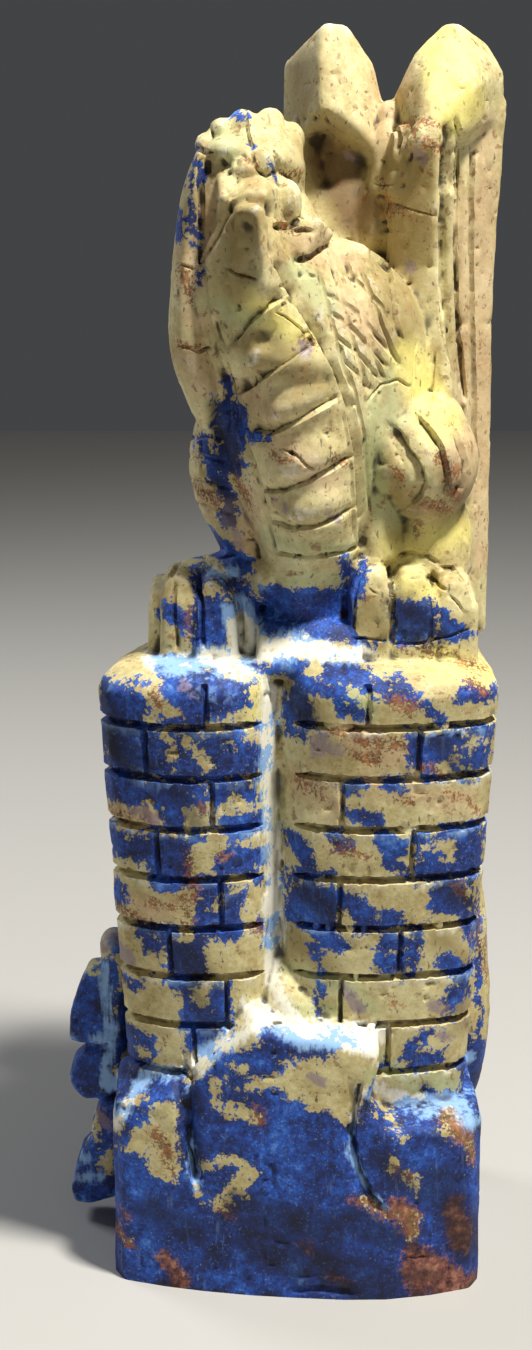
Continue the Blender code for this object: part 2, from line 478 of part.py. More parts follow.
# Each groove is (half width, depth, points as seen from the front), widths and depths in the
# same numbers as its points.
FIGURE_GROOVES = (
    (0.9, 0.9, (-12.3, 50.2), (-10.1, 41.7), (-8.7, 34.4), (-6.8, 29.3), (-5.3, 23.2), (-3.7, 16.0)),
    (0.9, 1.0, (-3.6, 58.1), (-0.9, 52.8), (2.1, 48.2), (5.0, 43.1), (6.9, 37.5), (8.2, 30.7),
     (8.6, 25.0), (9.4, 16.2)),
    (0.8, 0.8, (-9.6, 47.0), (-7.6, 49.3), (-5.6, 51.2), (-2.4, 53.1)),
    (0.8, 0.8, (-9.0, 39.5), (-5.8, 41.6), (-1.8, 44.5), (2.1, 47.1)),
    (0.8, 0.8, (-7.2, 34.3), (-4.2, 34.0), (0.7, 36.3), (5.7, 39.1)),
    (0.8, 0.8, (-6.1, 25.3), (-2.2, 25.8), (1.0, 27.1), (4.3, 28.7), (7.7, 30.5)),
    (0.8, 0.8, (-4.9, 20.9), (-2.1, 20.3), (2.2, 20.6), (5.3, 21.6), (8.3, 23.0)),
    (0.8, 0.8, (-3.6, 15.8), (2.3, 15.6), (9.4, 16.0)),
    (0.9, 1.0, (-15.0, 74.1), (-13.5, 73.3), (-10.5, 71.6)),
    (0.6, 0.7, (-6.9, 72.6), (-6.2, 70.4), (-4.6, 69.4), (-2.9, 70.2)),
    (0.9, 1.0, (-9.5, 65.9), (-11.4, 63.0), (-12.5, 61.1), (-14.0, 58.9)),
    (0.8, 0.8, (-5.7, 66.6), (-4.8, 63.4), (-4.2, 59.6)),
    (0.8, 1.0, (-3.5, 63.2), (-1.8, 62.6), (0.0, 63.6)),
    (0.6, 0.8, (-12.6, 77.0), (-12.2, 75.1)),
    (0.6, 0.8, (-9.6, 80.0), (-9.6, 76.0)),
    (0.6, 0.8, (-6.2, 80.0), (-6.0, 76.6)),
    (0.6, 0.8, (-2.6, 80.0), (-2.6, 76.6)),
    (0.9, 0.8, (-14.2, 72.6), (-13.9, 66.6), (-14.0, 59.0), (-13.5, 52.7), (-12.6, 47.0), (-11.0, 41.5)),
    (0.8, 0.9, (15.0, 33.4), (17.9, 28.5), (18.3, 26.3), (17.9, 23.9)),
    (0.8, 0.9, (18.0, 35.2), (20.9, 31.5), (22.0, 26.0)),
    (0.8, 0.9, (23.2, 33.3), (25.0, 28.3), (24.6, 25.9)),
    (0.8, 0.9, (-18.0, 32.0), (-14.0, 32.6), (-10.6, 32.8)),
    (0.8, 0.9, (-18.0, 25.6), (-13.6, 25.9), (-9.6, 25.1)),
    (0.9, 0.8, (21.2, 74.3), (21.0, 67.1), (21.2, 58.2), (21.4, 49.3), (22.6, 43.4)),
    (0.7, 0.9, (24.3, 75.0), (24.2, 62.8), (24.8, 50.6), (25.8, 41.4), (26.6, 36.6)),
    (0.7, 1.0, (27.0, 74.7), (27.0, 62.8), (27.6, 48.9), (28.2, 36.3), (28.6, 24.0)),
    (0.7, 0.9, (13.7, 13.0), (13.9, 8.5), (13.9, 2.2)),
    (0.7, 0.9, (-15.2, 12.4), (-14.6, 8.3), (-14.3, 1.6)),
)
BACK_GROOVES = (
    (1.4, 2.0, (12.6, 84), (12.4, 60), (12.0, 2)),
    (0.9, 0.9, (-6.4, 62), (-6.0, 30), (-4.4, 4)),
    (0.9, 0.9, (-1.4, 72), (-1.0, 36), (0.6, 2)),
    (0.9, 0.9, (4.8, 82), (5.4, 40), (6.2, 2)),
    (0.9, 0.9, (19.4, 82), (18.6, 40), (17.6, 0)),
    (0.9, 0.9, (24.6, 82), (24.2, 40), (23.4, 0)),
)
BASE_GROOVES = (
    (1.3, 2.2, (-17.8, 36.4), (-17.4, 32.0), (-16.8, 27.0), (-16.2, 22.0), (-15.8, 18.4)),
    (1.0, 1.8, (9.6, 36.0), (8.6, 32.0), (8.2, 28.0), (9.3, 23.1), (11.0, 18.8), (13.4, 15.6)),
)


def lattice():
    """The crossed lines of scales on the flank, closing up towards the shoulder."""
    down = (((2.5, 56.7), (3.7, 52.8), (4.8, 48.5), (6.0, 44.2), (7.8, 39.6)),
            ((4.6, 57.8), (5.9, 53.4), (7.2, 48.5), (8.7, 43.9), (9.9, 39.6)),
            ((6.8, 58.0), (8.2, 54.1), (9.6, 49.1), (11.2, 44.3), (12.4, 41.1)),
            ((8.9, 57.4), (10.3, 53.7), (11.9, 49.5), (13.4, 45.7), (14.8, 42.8)),
            ((11.0, 56.6), (12.4, 52.9), (13.9, 49.4), (15.1, 46.5)))
    across = (((9.2, 57.4), (11.8, 55.1), (14.1, 51.7)),
              ((5.8, 56.9), (8.8, 54.9), (12.0, 51.7), (14.7, 48.0)),
              ((3.1, 53.9), (5.7, 52.6), (8.0, 51.0), (10.8, 47.9), (13.6, 44.9)),
              ((4.2, 51.1), (7.2, 49.0), (10.5, 45.8), (13.0, 43.0)),
              ((4.8, 48.0), (8.1, 45.4), (10.8, 42.4), (12.3, 40.8)),
              ((6.0, 44.6), (8.6, 42.2), (10.8, 39.6)))
    return [(0.6, 0.6, *line) for line in down + across]


def carve(ob, grooves, unit, rise, facing, limit):
    """Press grooves into the fused stone, each vertex moving in along its normal.

    facing is -1 for grooves laid out as seen from the front and 1 for those at the back.
    limit is the share of y up to which the stone is reached from that side.
    """
    mesh = ob.data
    count = len(mesh.vertices)
    points = np.empty(count * 3)
    normals = np.empty(count * 3)
    mesh.vertices.foreach_get("co", points)
    mesh.vertex_normals.foreach_get("vector", normals)
    points = points.reshape(-1, 3)
    normals = normals.reshape(-1, 3)
    seen = np.array([points[:, 0], points[:, 2] - rise]).T / unit
    open_side = (normals[:, 1] * facing > -0.05) & (points[:, 1] * facing > limit)
    sink = np.zeros(count)
    for half, depth, *line in grooves:
        line = np.array(line)
        for a, b in zip(line, line[1:]):
            along = b - a
            t = np.clip(((seen - a) @ along) / (along @ along), 0, 1)
            gap = np.linalg.norm(seen - a - t[:, None] * along, axis=1)
            dip = depth * np.clip(1 - (gap / half) ** 2, 0, 1) ** 0.8
            sink = np.maximum(sink, np.where(open_side, dip, 0))
    points -= normals * (sink * unit)[:, None]
    mesh.vertices.foreach_set("co", points.ravel())
    mesh.update()


def core(lumps):
    """The heart of the block, so that the fused stone is solid where the tower stands on it."""
    lumps.block(in_base, *((x, y, z, 3) for x in (-17, 19) for y in (-11, 12) for z in (20, 95)))


def build_forms(coll):
    """Figure, rocks, tail and base fused into one body, with the carver's grooves pressed in."""
    lumps = Lumps()
    for form in (torso, head, mane, legs, wings, rocks, tail, base_block, core):
        form(lumps)
    forms = fuse(lumps.body("carved_forms", coll), VOXEL, 2)
    unit = DRAGON_HEIGHT / 94
    perch = TOWER_EDGE_HEIGHT + PERCH_RISE
    carve(forms, FIGURE_GROOVES + tuple(lattice()), unit, perch, -1, -0.006)
    carve(forms, BACK_GROOVES, unit, perch, 1, 0.010)
    carve(forms, BASE_GROOVES, BASE_HEIGHT / 29, 0, -1, 0.012)
    thin_out(forms, FIGURE_TRIANGLES)
    return forms


def box(name, coll, centre, size):
    """A cutter: a plain box, kept out of the render."""
    bm = bmesh.new()
    shape = Matrix.Translation(centre) @ Matrix.Diagonal((*size, 1.0))
    bmesh.ops.create_cube(bm, size=1.0, matrix=shape)
    ob = new_object(name, bm, coll)
    ob.hide_render = True
    ob.display_type = "WIRE"
    return ob


# Upright mortar joints in the two lobes, from the top course down: millimetres from the middle
# of a tower 60.4 wide.
JOINTS_WIDE = 60.4
JOINTS_LEFT = (-14.0, -23.2, -13.0, -21.9, -12.1, -20.1, -10.7, -17.7)
JOINTS_RIGHT = (10.0, 17.8, 6.1, 17.3, 5.9, 15.6, 6.5, 14.0)
JOINT_LENGTH = 0.0102       # how far a joint's cutter reaches through the bowed front
JOINT_NIP = 0.002           # the same at the flat side and back


def joint_boxes(coll):
    """Cutters for the upright joints, staggered from course to course."""
    line = MORTAR_GAP * 0.75
    share = TOWER_TOP_WIDTH / JOINTS_WIDE
    for k in range(COURSES + 1):
        high = COURSE_HEIGHT - MORTAR_GAP * 0.5
        middle = TOWER_EDGE_HEIGHT - FIRST_LINE - (k - 0.5) * COURSE_HEIGHT
        if k == 0:
            high = FIRST_LINE + PERCH_RISE * 0.3
            middle = TOWER_EDGE_HEIGHT - FIRST_LINE + high / 2
        lean = 1 - TOWER_LEAN * k / TAPER_COURSES
        width = 1 - (1 - TOWER_FOOT_WIDTH / TOWER_TOP_WIDTH) * k / TAPER_COURSES
        front = -FRONT_SHARE * TOWER_DEPTH * lean
        back = BACK_SHARE * TOWER_DEPTH * lean
        side = TOWER_TOP_WIDTH / 2 * width
        odd = k % 2 == 1
        side_y = TOWER_DEPTH * (0.10 if odd else -0.16)
        back_x = side * (0.45 if odd else -0.05)
        box(f"joint_left_{k}", coll, (JOINTS_LEFT[k] * share, front, middle), (line, JOINT_LENGTH, high))
        box(f"joint_right_{k}", coll, (JOINTS_RIGHT[k] * share, front, middle), (line, JOINT_LENGTH, high))
        box(f"joint_east_{k}", coll, (side, side_y, middle), (JOINT_NIP, line, high))
        box(f"joint_back_{k}", coll, (back_x, back, middle), (line, JOINT_NIP, high))


def stone():
    """The colour of the stone as a whole: tan and pale green with deep blue."""
    material = bpy.data.materials.new("azurite_stone")
    material.use_nodes = True
    shader = material.node_tree.nodes["Principled BSDF"]
    shader.inputs["Base Color"].default_value = (0.30, 0.31, 0.24, 1.0)
    shader.inputs["Roughness"].default_value = 0.62
    shader.inputs["Metallic"].default_value = 0.0
    return material


def main():
    clear_scene()
    solid = bpy.data.collections.new(NAME)
    cutters = bpy.data.collections.new(NAME + "_cutters")
    for coll in (solid, cutters):
        bpy.context.scene.collection.children.link(coll)
    forms = build_forms(solid)
    carving = tower(solid)
    joint_boxes(cutters)
    cut_away(carving, cutters)
    join_bodies(carving, forms)
    bpy.data.objects.remove(forms)
    ground = box("ground_cutter", cutters, (0, 0, -0.005), (0.2, 0.2, 0.010))
    cut_away(carving, ground)
    carving.name = NAME
    carving.data.materials.clear()
    carving.data.materials.append(stone())
    return carving


if __name__ == "__main__":
    main()
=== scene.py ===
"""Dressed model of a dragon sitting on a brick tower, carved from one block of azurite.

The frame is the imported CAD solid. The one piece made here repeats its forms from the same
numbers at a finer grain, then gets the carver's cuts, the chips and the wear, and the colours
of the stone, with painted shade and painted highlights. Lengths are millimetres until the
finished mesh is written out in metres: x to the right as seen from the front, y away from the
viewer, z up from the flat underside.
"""
import math

import bmesh
import bpy
import numpy as np
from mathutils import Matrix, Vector


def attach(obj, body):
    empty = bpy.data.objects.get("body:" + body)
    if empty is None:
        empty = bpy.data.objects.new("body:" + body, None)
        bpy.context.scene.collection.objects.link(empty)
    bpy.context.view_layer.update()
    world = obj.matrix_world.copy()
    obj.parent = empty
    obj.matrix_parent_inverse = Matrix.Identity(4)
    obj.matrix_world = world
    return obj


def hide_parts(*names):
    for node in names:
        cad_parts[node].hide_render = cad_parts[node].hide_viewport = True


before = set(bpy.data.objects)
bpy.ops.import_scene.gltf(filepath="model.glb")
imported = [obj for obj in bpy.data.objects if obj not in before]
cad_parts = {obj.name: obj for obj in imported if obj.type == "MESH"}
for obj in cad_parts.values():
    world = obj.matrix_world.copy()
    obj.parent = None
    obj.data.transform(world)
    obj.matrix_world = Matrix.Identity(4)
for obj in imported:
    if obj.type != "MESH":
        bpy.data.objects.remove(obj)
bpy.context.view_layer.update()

# The carving is one piece, the dragon with its tower and rocks, and is built up of rounded
# lumps. The body sits upright, the chest ahead of it and the shoulder to the right, with a
# plain back.
DRAGON_HEIGHT = 94.0        # perch to the tips of the wings
PERCH = 100.0               # underside to the middle of the perch
GRAIN = 0.34     # size of the cells that the lumps are fused with

bpy.ops.object.select_all(action="DESELECT")
bpy.ops.mesh.primitive_ico_sphere_add(subdivisions=4, radius=1.0)
pebble = bpy.context.object
BALL = np.array([v.co for v in pebble.data.vertices])
bpy.ops.object.delete()


class Lumps:
    """Rounded bodies gathered into one mesh before they are fused."""

    def __init__(self):
        self.points = []
        self.faces = []
        self.count = 0

    def add(self, points, faces):
        self.points.append(points)
        self.faces += [[i + self.count for i in face] for face in faces]
        self.count += len(points)

    def wrap(self, cloud):
        """The tight skin over a cloud of points."""
        made = bmesh.new()
        for p in cloud:
            made.verts.new(p)
        bmesh.ops.convex_hull(made, input=made.verts)
        bmesh.ops.delete(made, geom=[v for v in made.verts if not v.link_faces], context="VERTS")
        made.verts.index_update()
        self.add(np.array([v.co for v in made.verts]), [[v.index for v in f.verts] for f in made.faces])
        made.free()

    def egg(self, place, x, y, z, rx, ry, rz):
        centre, radii = place((x, y, z, rx, ry, rz))
        self.wrap(BALL * radii + centre)

    def chain(self, place, *stations):
        """A limb through stations (x, y, z, rx, ry, rz), skinned from each egg to the next."""
        rows = [np.array(s, float) for s in stations]
        eggs = []
        for i in range(len(rows) - 1):
            before, a = rows[max(i - 1, 0)], rows[i]
            b, after = rows[i + 1], rows[min(i + 2, len(rows) - 1)]
            for k in range(4):
                t = k / 4
                eggs.append(0.5 * (2 * a + (b - before) * t
                                   + (2 * before - 5 * a + 4 * b - after) * t * t
                                   + (3 * a - before - 3 * b + after) * t * t * t))
        eggs.append(rows[-1])
        placed = [place(row) for row in eggs]
        for (c1, r1), (c2, r2) in zip(placed, placed[1:]):
            self.wrap(np.concatenate([BALL * r1 + c1, BALL * r2 + c2]))

    def block(self, place, *knobs):
        """A block with rounded corners, stretched over balls (x, y, z, r)."""
        cloud = []
        for x, y, z, r in knobs:
            centre, radii = place((x, y, z, r, r, r))
            cloud.append(BALL * radii + centre)
        self.wrap(np.concatenate(cloud))


def on_perch(row):
    """Figure numbers make it 94 high and start from the middle of the perch."""
    x, y, z, rx, ry, rz = (v * DRAGON_HEIGHT / 94 for v in row)
    return np.array((x, y, z + PERCH)), (rx, ry, rz)


stone = Lumps()
# trunk, chest, shoulder, back
stone.chain(on_perch, (1.6, -4, 0, 8.8, 11.4, 6), (1.6, -4.6, 9, 8.2, 12, 6), (1.6, -7, 18, 9, 14, 7),
            (0.5, -8, 30, 12, 15.5, 9), (0, -8, 42, 13.5, 15.5, 8), (-1, -8, 50, 13, 15, 8),
            (-4, -8, 57, 10.5, 14, 7), (-5, -8, 64, 7.5, 11, 6))
stone.chain(on_perch, (-3.4, -14, 51, 7.4, 10.5, 6), (-0.8, -13.5, 40, 8.6, 11.5, 7),
            (0.6, -12.5, 30, 8.2, 11.5, 7), (1.7, -12, 21, 7.0, 11, 5))
stone.chain(on_perch, (6.5, -4, 56, 7.5, 10, 4.5), (9, -4, 50, 9.5, 12, 6), (10, -3, 42, 10.5, 12.5, 7),
            (10, -3, 32, 11, 13, 8))
stone.block(on_perch, (-5.0, -19.0, -1.5, 1.5), (8.0, -19.6, -1.5, 1.5), (-4.6, -15.6, 3.6, 1.5),
            (7.6, -16.2, 3.6, 1.5), (-4, -8, 5, 2), (7, -8, 5, 2))
stone.chain(on_perch, (2, 7, 0, 13, 11, 6), (2, 7, 20, 13, 12, 10), (1, 6, 45, 12, 12, 10),
            (1, 7, 55, 10, 10, 6))

# The head is thrown back, its blunt muzzle pointing up and to the left under a scalloped
# crest. Below it come the swollen throat, the small ear stub that broke off on the right and
# the long lock that hangs down the left of the neck.
stone.chain(on_perch, (-5.6, -7, 66, 6.4, 10, 5), (-6, -8, 71, 6.9, 10, 6.4))
stone.block(on_perch, (-13.2, -15.6, 73.4, 1.2), (-5.2, -17.2, 73.8, 1.2), (-13.6, -16.0, 66.0, 1.2),
            (-10.8, -18.8, 69.6, 1.4), (-6.6, -19.6, 69.4, 1.4), (-3.8, -17.8, 68.6, 1.4),
            (-13.4, -15.0, 58, 1.2), (-3.4, -16.4, 58, 1.2), (-9.0, -20.0, 62, 1.6),
            (-12, -8, 73, 2), (-2.6, -8, 73, 2), (-2.6, -8, 58, 2), (-12, -8, 56, 2))
stone.block(on_perch, (-13.3, -13.6, 73.8, 1.5), (-11.1, -13.2, 75.8, 1.7), (-8.0, -12.8, 76.8, 2.0),
            (-4.4, -11.0, 77.1, 2.2), (-1.4, -8.0, 75.7, 1.9), (-13.0, -15.8, 72.4, 1.2),
            (-8.0, -18.2, 72.6, 1.6), (-3.6, -17.4, 72.4, 1.8), (-1.4, -13, 71.4, 2),
            (-8, -3, 74.5, 2.4), (-3, -3, 74.5, 2.4))
for egg in ((-13.5, -13, 74.4, 1.7, 3, 1.9), (-11.2, -12, 76.2, 2.0, 4, 2.3),
            (-8.1, -11, 77.0, 2.5, 5, 2.7), (-4.3, -9, 77.2, 2.5, 5, 2.9),
            (-1.3, -6, 75.6, 2.1, 5, 2.7), (-10.3, -16.6, 73.4, 3.4, 4, 2.3),
            (-5.2, -19.5, 71.7, 1.9, 1.6, 2.2), (-7.6, -17, 70.6, 3.4, 5, 2.6),
            (-1.9, -17.2, 66.3, 2.2, 3.6, 3.4)):
    stone.egg(on_perch, *egg)
stone.block(on_perch, (-10.4, -23.4, 66.6, 1.2), (-5.8, -23.6, 67.0, 1.2), (-11.0, -18.0, 70.2, 1.2),
            (-4.8, -18.4, 70.4, 1.2), (-11.0, -19, 61, 1.6), (-5.0, -19, 61, 1.6))
stone.chain(on_perch, (-12.4, -14.8, 69.4, 2.4, 4.6, 1.8), (-12.6, -14.6, 64.5, 2.6, 5, 3.5),
            (-12.6, -14, 59, 2.2, 5, 2.6))
stone.block(on_perch, (-6.2, -26.8, 64.8, 1.1), (-5.9, -27.0, 60.5, 1.0), (-5.2, -26.2, 55, 1.0),
            (-4.2, -24.4, 50, 1.0), (-10.0, -23.6, 64.6, 1.0), (-12.6, -21.0, 59.5, 1.2),
            (-14.6, -18.8, 53.5, 1.4), (-13.8, -17.2, 47, 1.4), (-4.0, -22.0, 63, 1.0),
            (-3.0, -21.6, 59, 1.2), (-0.8, -20.2, 54, 1.4), (1.0, -18.6, 49, 1.6), (-7, -16, 64, 2),
            (-8, -12, 50, 3))
stone.chain(on_perch, (-8.6, -21.2, 63.4, 2.2, 3.2, 1.8), (-9.0, -19.2, 59, 3.0, 4.8, 3.4),
            (-8.1, -16.8, 53, 5.2, 6.6, 4.6), (-5.8, -15.0, 46, 7.2, 9.6, 6))
stone.chain(on_perch, (-4.6, -20, 67.8, 1.5, 3, 1.4), (-3.6, -18.5, 62.4, 1.5, 4, 3),
            (-1.4, -16.5, 57.6, 1.8, 4, 2.0))
stone.block(on_perch, (-2.8, -20.2, 62.6, 0.9), (2.4, -18.4, 63.4, 0.9), (3.9, -14.8, 62.0, 0.9),
            (0.6, -20.2, 59.4, 0.9), (-2.4, -20.6, 59.8, 0.9), (-3.5, -9, 60, 2), (0, -6, 60, 3))
stone.block(on_perch, (-13.2, -16.4, 71.6, 1.2), (-13.7, -17.2, 66, 1.4), (-14.2, -17.6, 60, 1.5),
            (-14.4, -17.0, 55, 1.6), (-13, -10, 70, 2), (-13.5, -10, 56, 2))
stone.chain(on_perch, (-14.3, -17, 72.6, 0.7, 2.4, 1.2), (-15.4, -16, 66, 1.9, 4, 3),
            (-16.0, -15, 56, 2.6, 5, 4), (-15.9, -14.5, 46.5, 3.2, 5.5, 3.5),
            (-14.3, -14.5, 39.5, 2.6, 5, 3), (-13.7, -14, 35.0, 1.1, 3.5, 1.4))
stone.chain(on_perch, (-12.6, -14.2, 68, 2.2, 4.2, 3), (-13.2, -13.8, 57, 2.8, 5.0, 4),
            (-12.4, -12.6, 47, 3.4, 6.0, 4), (-11.0, -10.0, 37, 3.8, 6.6, 4))


# Two hind legs under the belly: the right one shows its full thigh, the left only the side
# of the knee. Each foot is a row of square-cut toes on the perch.
def foot(toes, heel):
    """Square-cut toes side by side, each rounded over at its top and standing on the perch."""
    for x, front, top, half in toes:
        in_x = half - 1.2
        knobs = [(x + s * in_x, front + y, z, 1.2) for s in (-1, 1)
                 for y, z in ((1.2, -1), (1.2, top - 5.2), (9.0, -1), (9.0, top - 3.4))]
        knobs += [(x + s * in_x * 0.45, front + y, z, 1.2) for s in (-1, 1)
                  for y, z in ((2.0, top - 2.4), (5.0, top - 1.2), (10.0, top - 1.6))]
        stone.block(on_perch, *knobs)
    stone.block(on_perch, *heel)


stone.chain(on_perch, (17.6, -5, 34, 7.8, 10, 6), (18.8, -5.4, 28.2, 8.7, 11.5, 9.6))
stone.chain(on_perch, (11.0, -4.6, 34, 4.4, 8.6, 4), (11.6, -4.4, 24, 4.8, 9.0, 5),
            (12.2, -5.0, 15, 5.0, 8.6, 3.4))
stone.chain(on_perch, (15.6, -6.6, 34, 6.8, 8.6, 4), (13.6, -7.4, 28.5, 5.6, 8.4, 6.4))
stone.chain(on_perch, (19.5, -3, 20, 7, 8, 4), (18.6, -4, 12.5, 8.6, 8, 5))
foot(((10.9, -17.8, 14.4, 3.5), (17.2, -18.2, 13.4, 3.3), (23.4, -17.2, 12.4, 3.6)),
     ((10, -8, 3, 2.4), (24.4, -8, 3, 2.4), (24.6, 2, 0, 2.4), (10, 2, 0, 2.4), (17, -14, -1, 2),
      (23, -13, -1, 2), (11, -13, -1, 2)))
stone.chain(on_perch, (-10.8, -5, 34.6, 4.4, 8.5, 5), (-10.8, -5, 27.4, 5.8, 9.5, 7.5),
            (-8.8, -5, 19.4, 4.8, 8.5, 5), (-7.0, -5, 14.0, 4.2, 7.5, 3.5))
foot(((-12.3, -17.4, 12.6, 3.2), (-18.1, -16.4, 13.0, 2.7), (-21.0, -13.6, 10.8, 1.8)),
     ((-19, -6, 3, 2.0), (-9, -8, 3, 2.4), (-8, 2, 0, 2.4), (-18, 2, 0, 2.0), (-12, -12, -1, 2)))
stone.chain(on_perch, (-10, -9, 12.0, 5, 5, 3), (-15, -7, 10.5, 5, 6, 3))
stone.chain(on_perch, (-13.0, -9.6, 12.4, 2.2, 3.4, 2.0), (-10.0, -10.4, 10.4, 2.2, 3.6, 2.2),
            (-7.8, -11.2, 5.6, 2.0, 3.6, 2.6), (-7.0, -12.0, -1, 2.2, 3.6, 2.2))
stone.chain(on_perch, (-8, -2, 10, 5, 7, 4), (-15, -1, 8.0, 5, 6, 4))
stone.egg(on_perch, -4.6, -9, 11.0, 4.2, 6.5, 4.4)

# The wings are folded up behind the shoulders. The right one has a thick arm with a broken
# wrist and hanging folds behind it, the left one shows only its blunt top, and both run down
# to the perch as one flat back.
stone.block(on_perch, (23.7, 9.0, 91.0, 2.7), (17.6, 9, 83.4, 2.2), (19.7, 9, 87.7, 2.2),
            (27.2, 10.5, 89.0, 2.6), (29.2, 12, 85.8, 2.7), (29.5, 12.5, 80, 2.4), (20.6, 3.4, 84, 2.6),
            (25.0, 4.0, 84.2, 2.6), (19.6, -1.0, 77.4, 2.2), (22.6, 1.4, 77.4, 2.0), (27, 7.6, 80, 2.2),
            (24, 18, 87, 3), (17, 17, 80, 3), (29.8, 19, 78, 3))
stone.egg(on_perch, 19.2, -1.8, 75.8, 3.2, 2.8, 2.6)
stone.block(on_perch, (20.7, -3.6, 76, 0.9), (20.4, -4.4, 66, 0.9), (20.4, -4.8, 56, 0.9),
            (15.6, 2.6, 77, 1.2), (13.9, 1.4, 66, 1.0), (13.8, 1.2, 56, 1.0), (20, 10, 76, 1.5),
            (16, 10, 76, 2), (20, 10, 56, 1.5), (15, 10, 56, 2))
stone.block(on_perch, (20.4, -4.8, 57, 0.9), (20.8, -5.8, 47, 1.0), (22.0, -7.6, 39, 1.4),
            (13.8, 1.2, 57, 1.0), (14.2, -0.2, 47, 1.2), (13.4, -4.4, 39, 1.8), (20, 10, 57, 1.5),
            (15, 10, 57, 2), (22, 8, 39, 2), (14, 8, 39, 2))
stone.block(on_perch, (21.0, 4.0, 77, 1.2), (26.2, 9.2, 81, 1.2), (31.4, 12.4, 82, 1.2),
            (21.0, 4.2, 56, 1.2), (26.0, 9.4, 56, 1.2), (29.9, 12.6, 56, 1.2), (20, 14, 77, 2),
            (30.4, 18, 82, 2), (20, 14, 56, 2), (29.2, 18, 56, 2))
stone.block(on_perch, (21.0, 4.2, 58, 1.2), (26.0, 9.4, 58, 1.2), (29.9, 12.6, 58, 1.2),
            (23.4, 8.0, 24, 1.2), (27.0, 10.4, 8, 1.2), (30.2, 13.0, -1, 1.2), (22, 14, 58, 2),
            (29.2, 18, 58, 2), (22, 14, 0, 2), (29.4, 18, -1, 2))
stone.chain(on_perch, (22.4, 0.6, 77.4, 1.6, 2.2, 1.6), (22.5, 2.0, 73, 1.7, 2.2, 2.6),
            (22.9, 4.2, 67, 1.5, 2.0, 4),
            (23.3, 5.6, 55, 1.2, 2.0, 4), (24.4, 7.2, 38, 1.1, 2.0, 3))
stone.chain(on_perch, (25.3, 7.8, 79.0, 0.7, 1.4, 1.5), (25.2, 8.0, 68, 1.5, 2.4, 4),
            (25.7, 8.4, 52, 1.6, 2.4, 4), (27.0, 10.0, 22, 1.3, 2.4, 3))
stone.block(on_perch, (14.5, 10.6, 80, 2.5), (27, 16, 80, 2.5), (14, 9, 0, 3), (27, 16, -2, 3),
            (16, 20, 80, 3), (27, 20, 78, 3), (14, 21, 0, 3), (28, 20, -2, 3))
stone.block(on_perch, (4.7, 9.0, 92.0, 1.6), (6.7, 9.8, 91.9, 1.6), (3.7, 6.6, 88, 1.0),
            (-0.4, 17.2, 87.8, 1.6), (-0.4, 17.2, 78, 1.8), (9.8, 12.8, 87.2, 2.0),
            (3.9, 4.7, 80.6, 1.0), (5.6, 4.8, 80.4, 1.2), (9.2, 7.2, 77.4, 1.2),
            (12.0, 9.6, 74.8, 1.2), (11.8, 17, 80, 2.4), (5, 20, 84, 3), (1, 18, 76, 3))
stone.block(on_perch, (1.2, 12.6, 79, 2), (11.6, 14.4, 76, 2), (1.0, 12.8, 62, 2.4), (7.4, 16.0, 68, 2),
            (13.0, 12.0, 62, 2.4), (0.4, 8, 54, 3), (13, 8, 54, 3), (1, 18, 78, 2), (12, 18, 77, 2),
            (0, 16, 54, 2), (12, 16, 54, 2))
stone.chain(on_perch, (14.4, 14, 80.6, 1.8, 3, 1.6), (14.2, 11, 77.4, 2.6, 4, 3),
            (13.6, 9.2, 70, 3.0, 5, 4), (13.2, 6.8, 62, 3.6, 5, 4))
stone.egg(on_perch, 4.6, -7.2, 58.2, 6.8, 6.2, 3.4)
stone.block(on_perch, (-1, 18, 76, 2.5), (11, 18, 78, 2.5), (-10, 14, 60, 3), (-10.5, 14, 30, 3),
            (-7.5, 15, 0, 3), (12, 16, 60, 3), (10, 20, 0, 3), (-9, 20, 40, 3), (-6, 21, 0, 3),
            (0, 21, 72, 3), (11, 21, 74, 3))

# The foot of the block: rocks with smooth faces that stand in front of the tower, and the
# tail, which comes down behind on the right, goes round the back and ends in a row of fins
# on the left.
BASE_WIDTH, BASE_DEPTH, BASE_HEIGHT = 58.0, 49.0, 29.0
BASE_FRONT = ((-27.7, -18.4), (-26.4, -20.9), (-20.3, -22.9), (-14.5, -24.3), (-7.3, -25.6),
              (0.0, -26.4), (7.3, -27.0), (13.6, -26.9), (20.3, -25.6), (26.1, -23.6), (27.4, -21.2))
KNOB = 1.3                  # rounding of the base's edges, in base numbers


def in_base(row):
    """Rock and tail numbers are millimetres of a base 58 wide, 49 deep, 29 high."""
    wide, deep, high = BASE_WIDTH / 58, BASE_DEPTH / 49, BASE_HEIGHT / 29
    x, y, z, rx, ry, rz = row
    return np.array((x * wide, y * deep, z * high)), (rx * wide, ry * deep, rz * high)


def rock(back, bevel, *outline):
    """A rock on the base's front: its top slopes down by the bevel to the face below."""
    xs, ys = zip(*BASE_FRONT)
    knobs = []
    for x, z in outline:
        front = float(np.interp(x, xs, ys)) + KNOB
        knobs += [(x, front, z - bevel - KNOB, KNOB), (x, front + 3.0, z - KNOB, KNOB),
                  (x, back, z - KNOB, KNOB)]
    stone.block(in_base, *knobs)


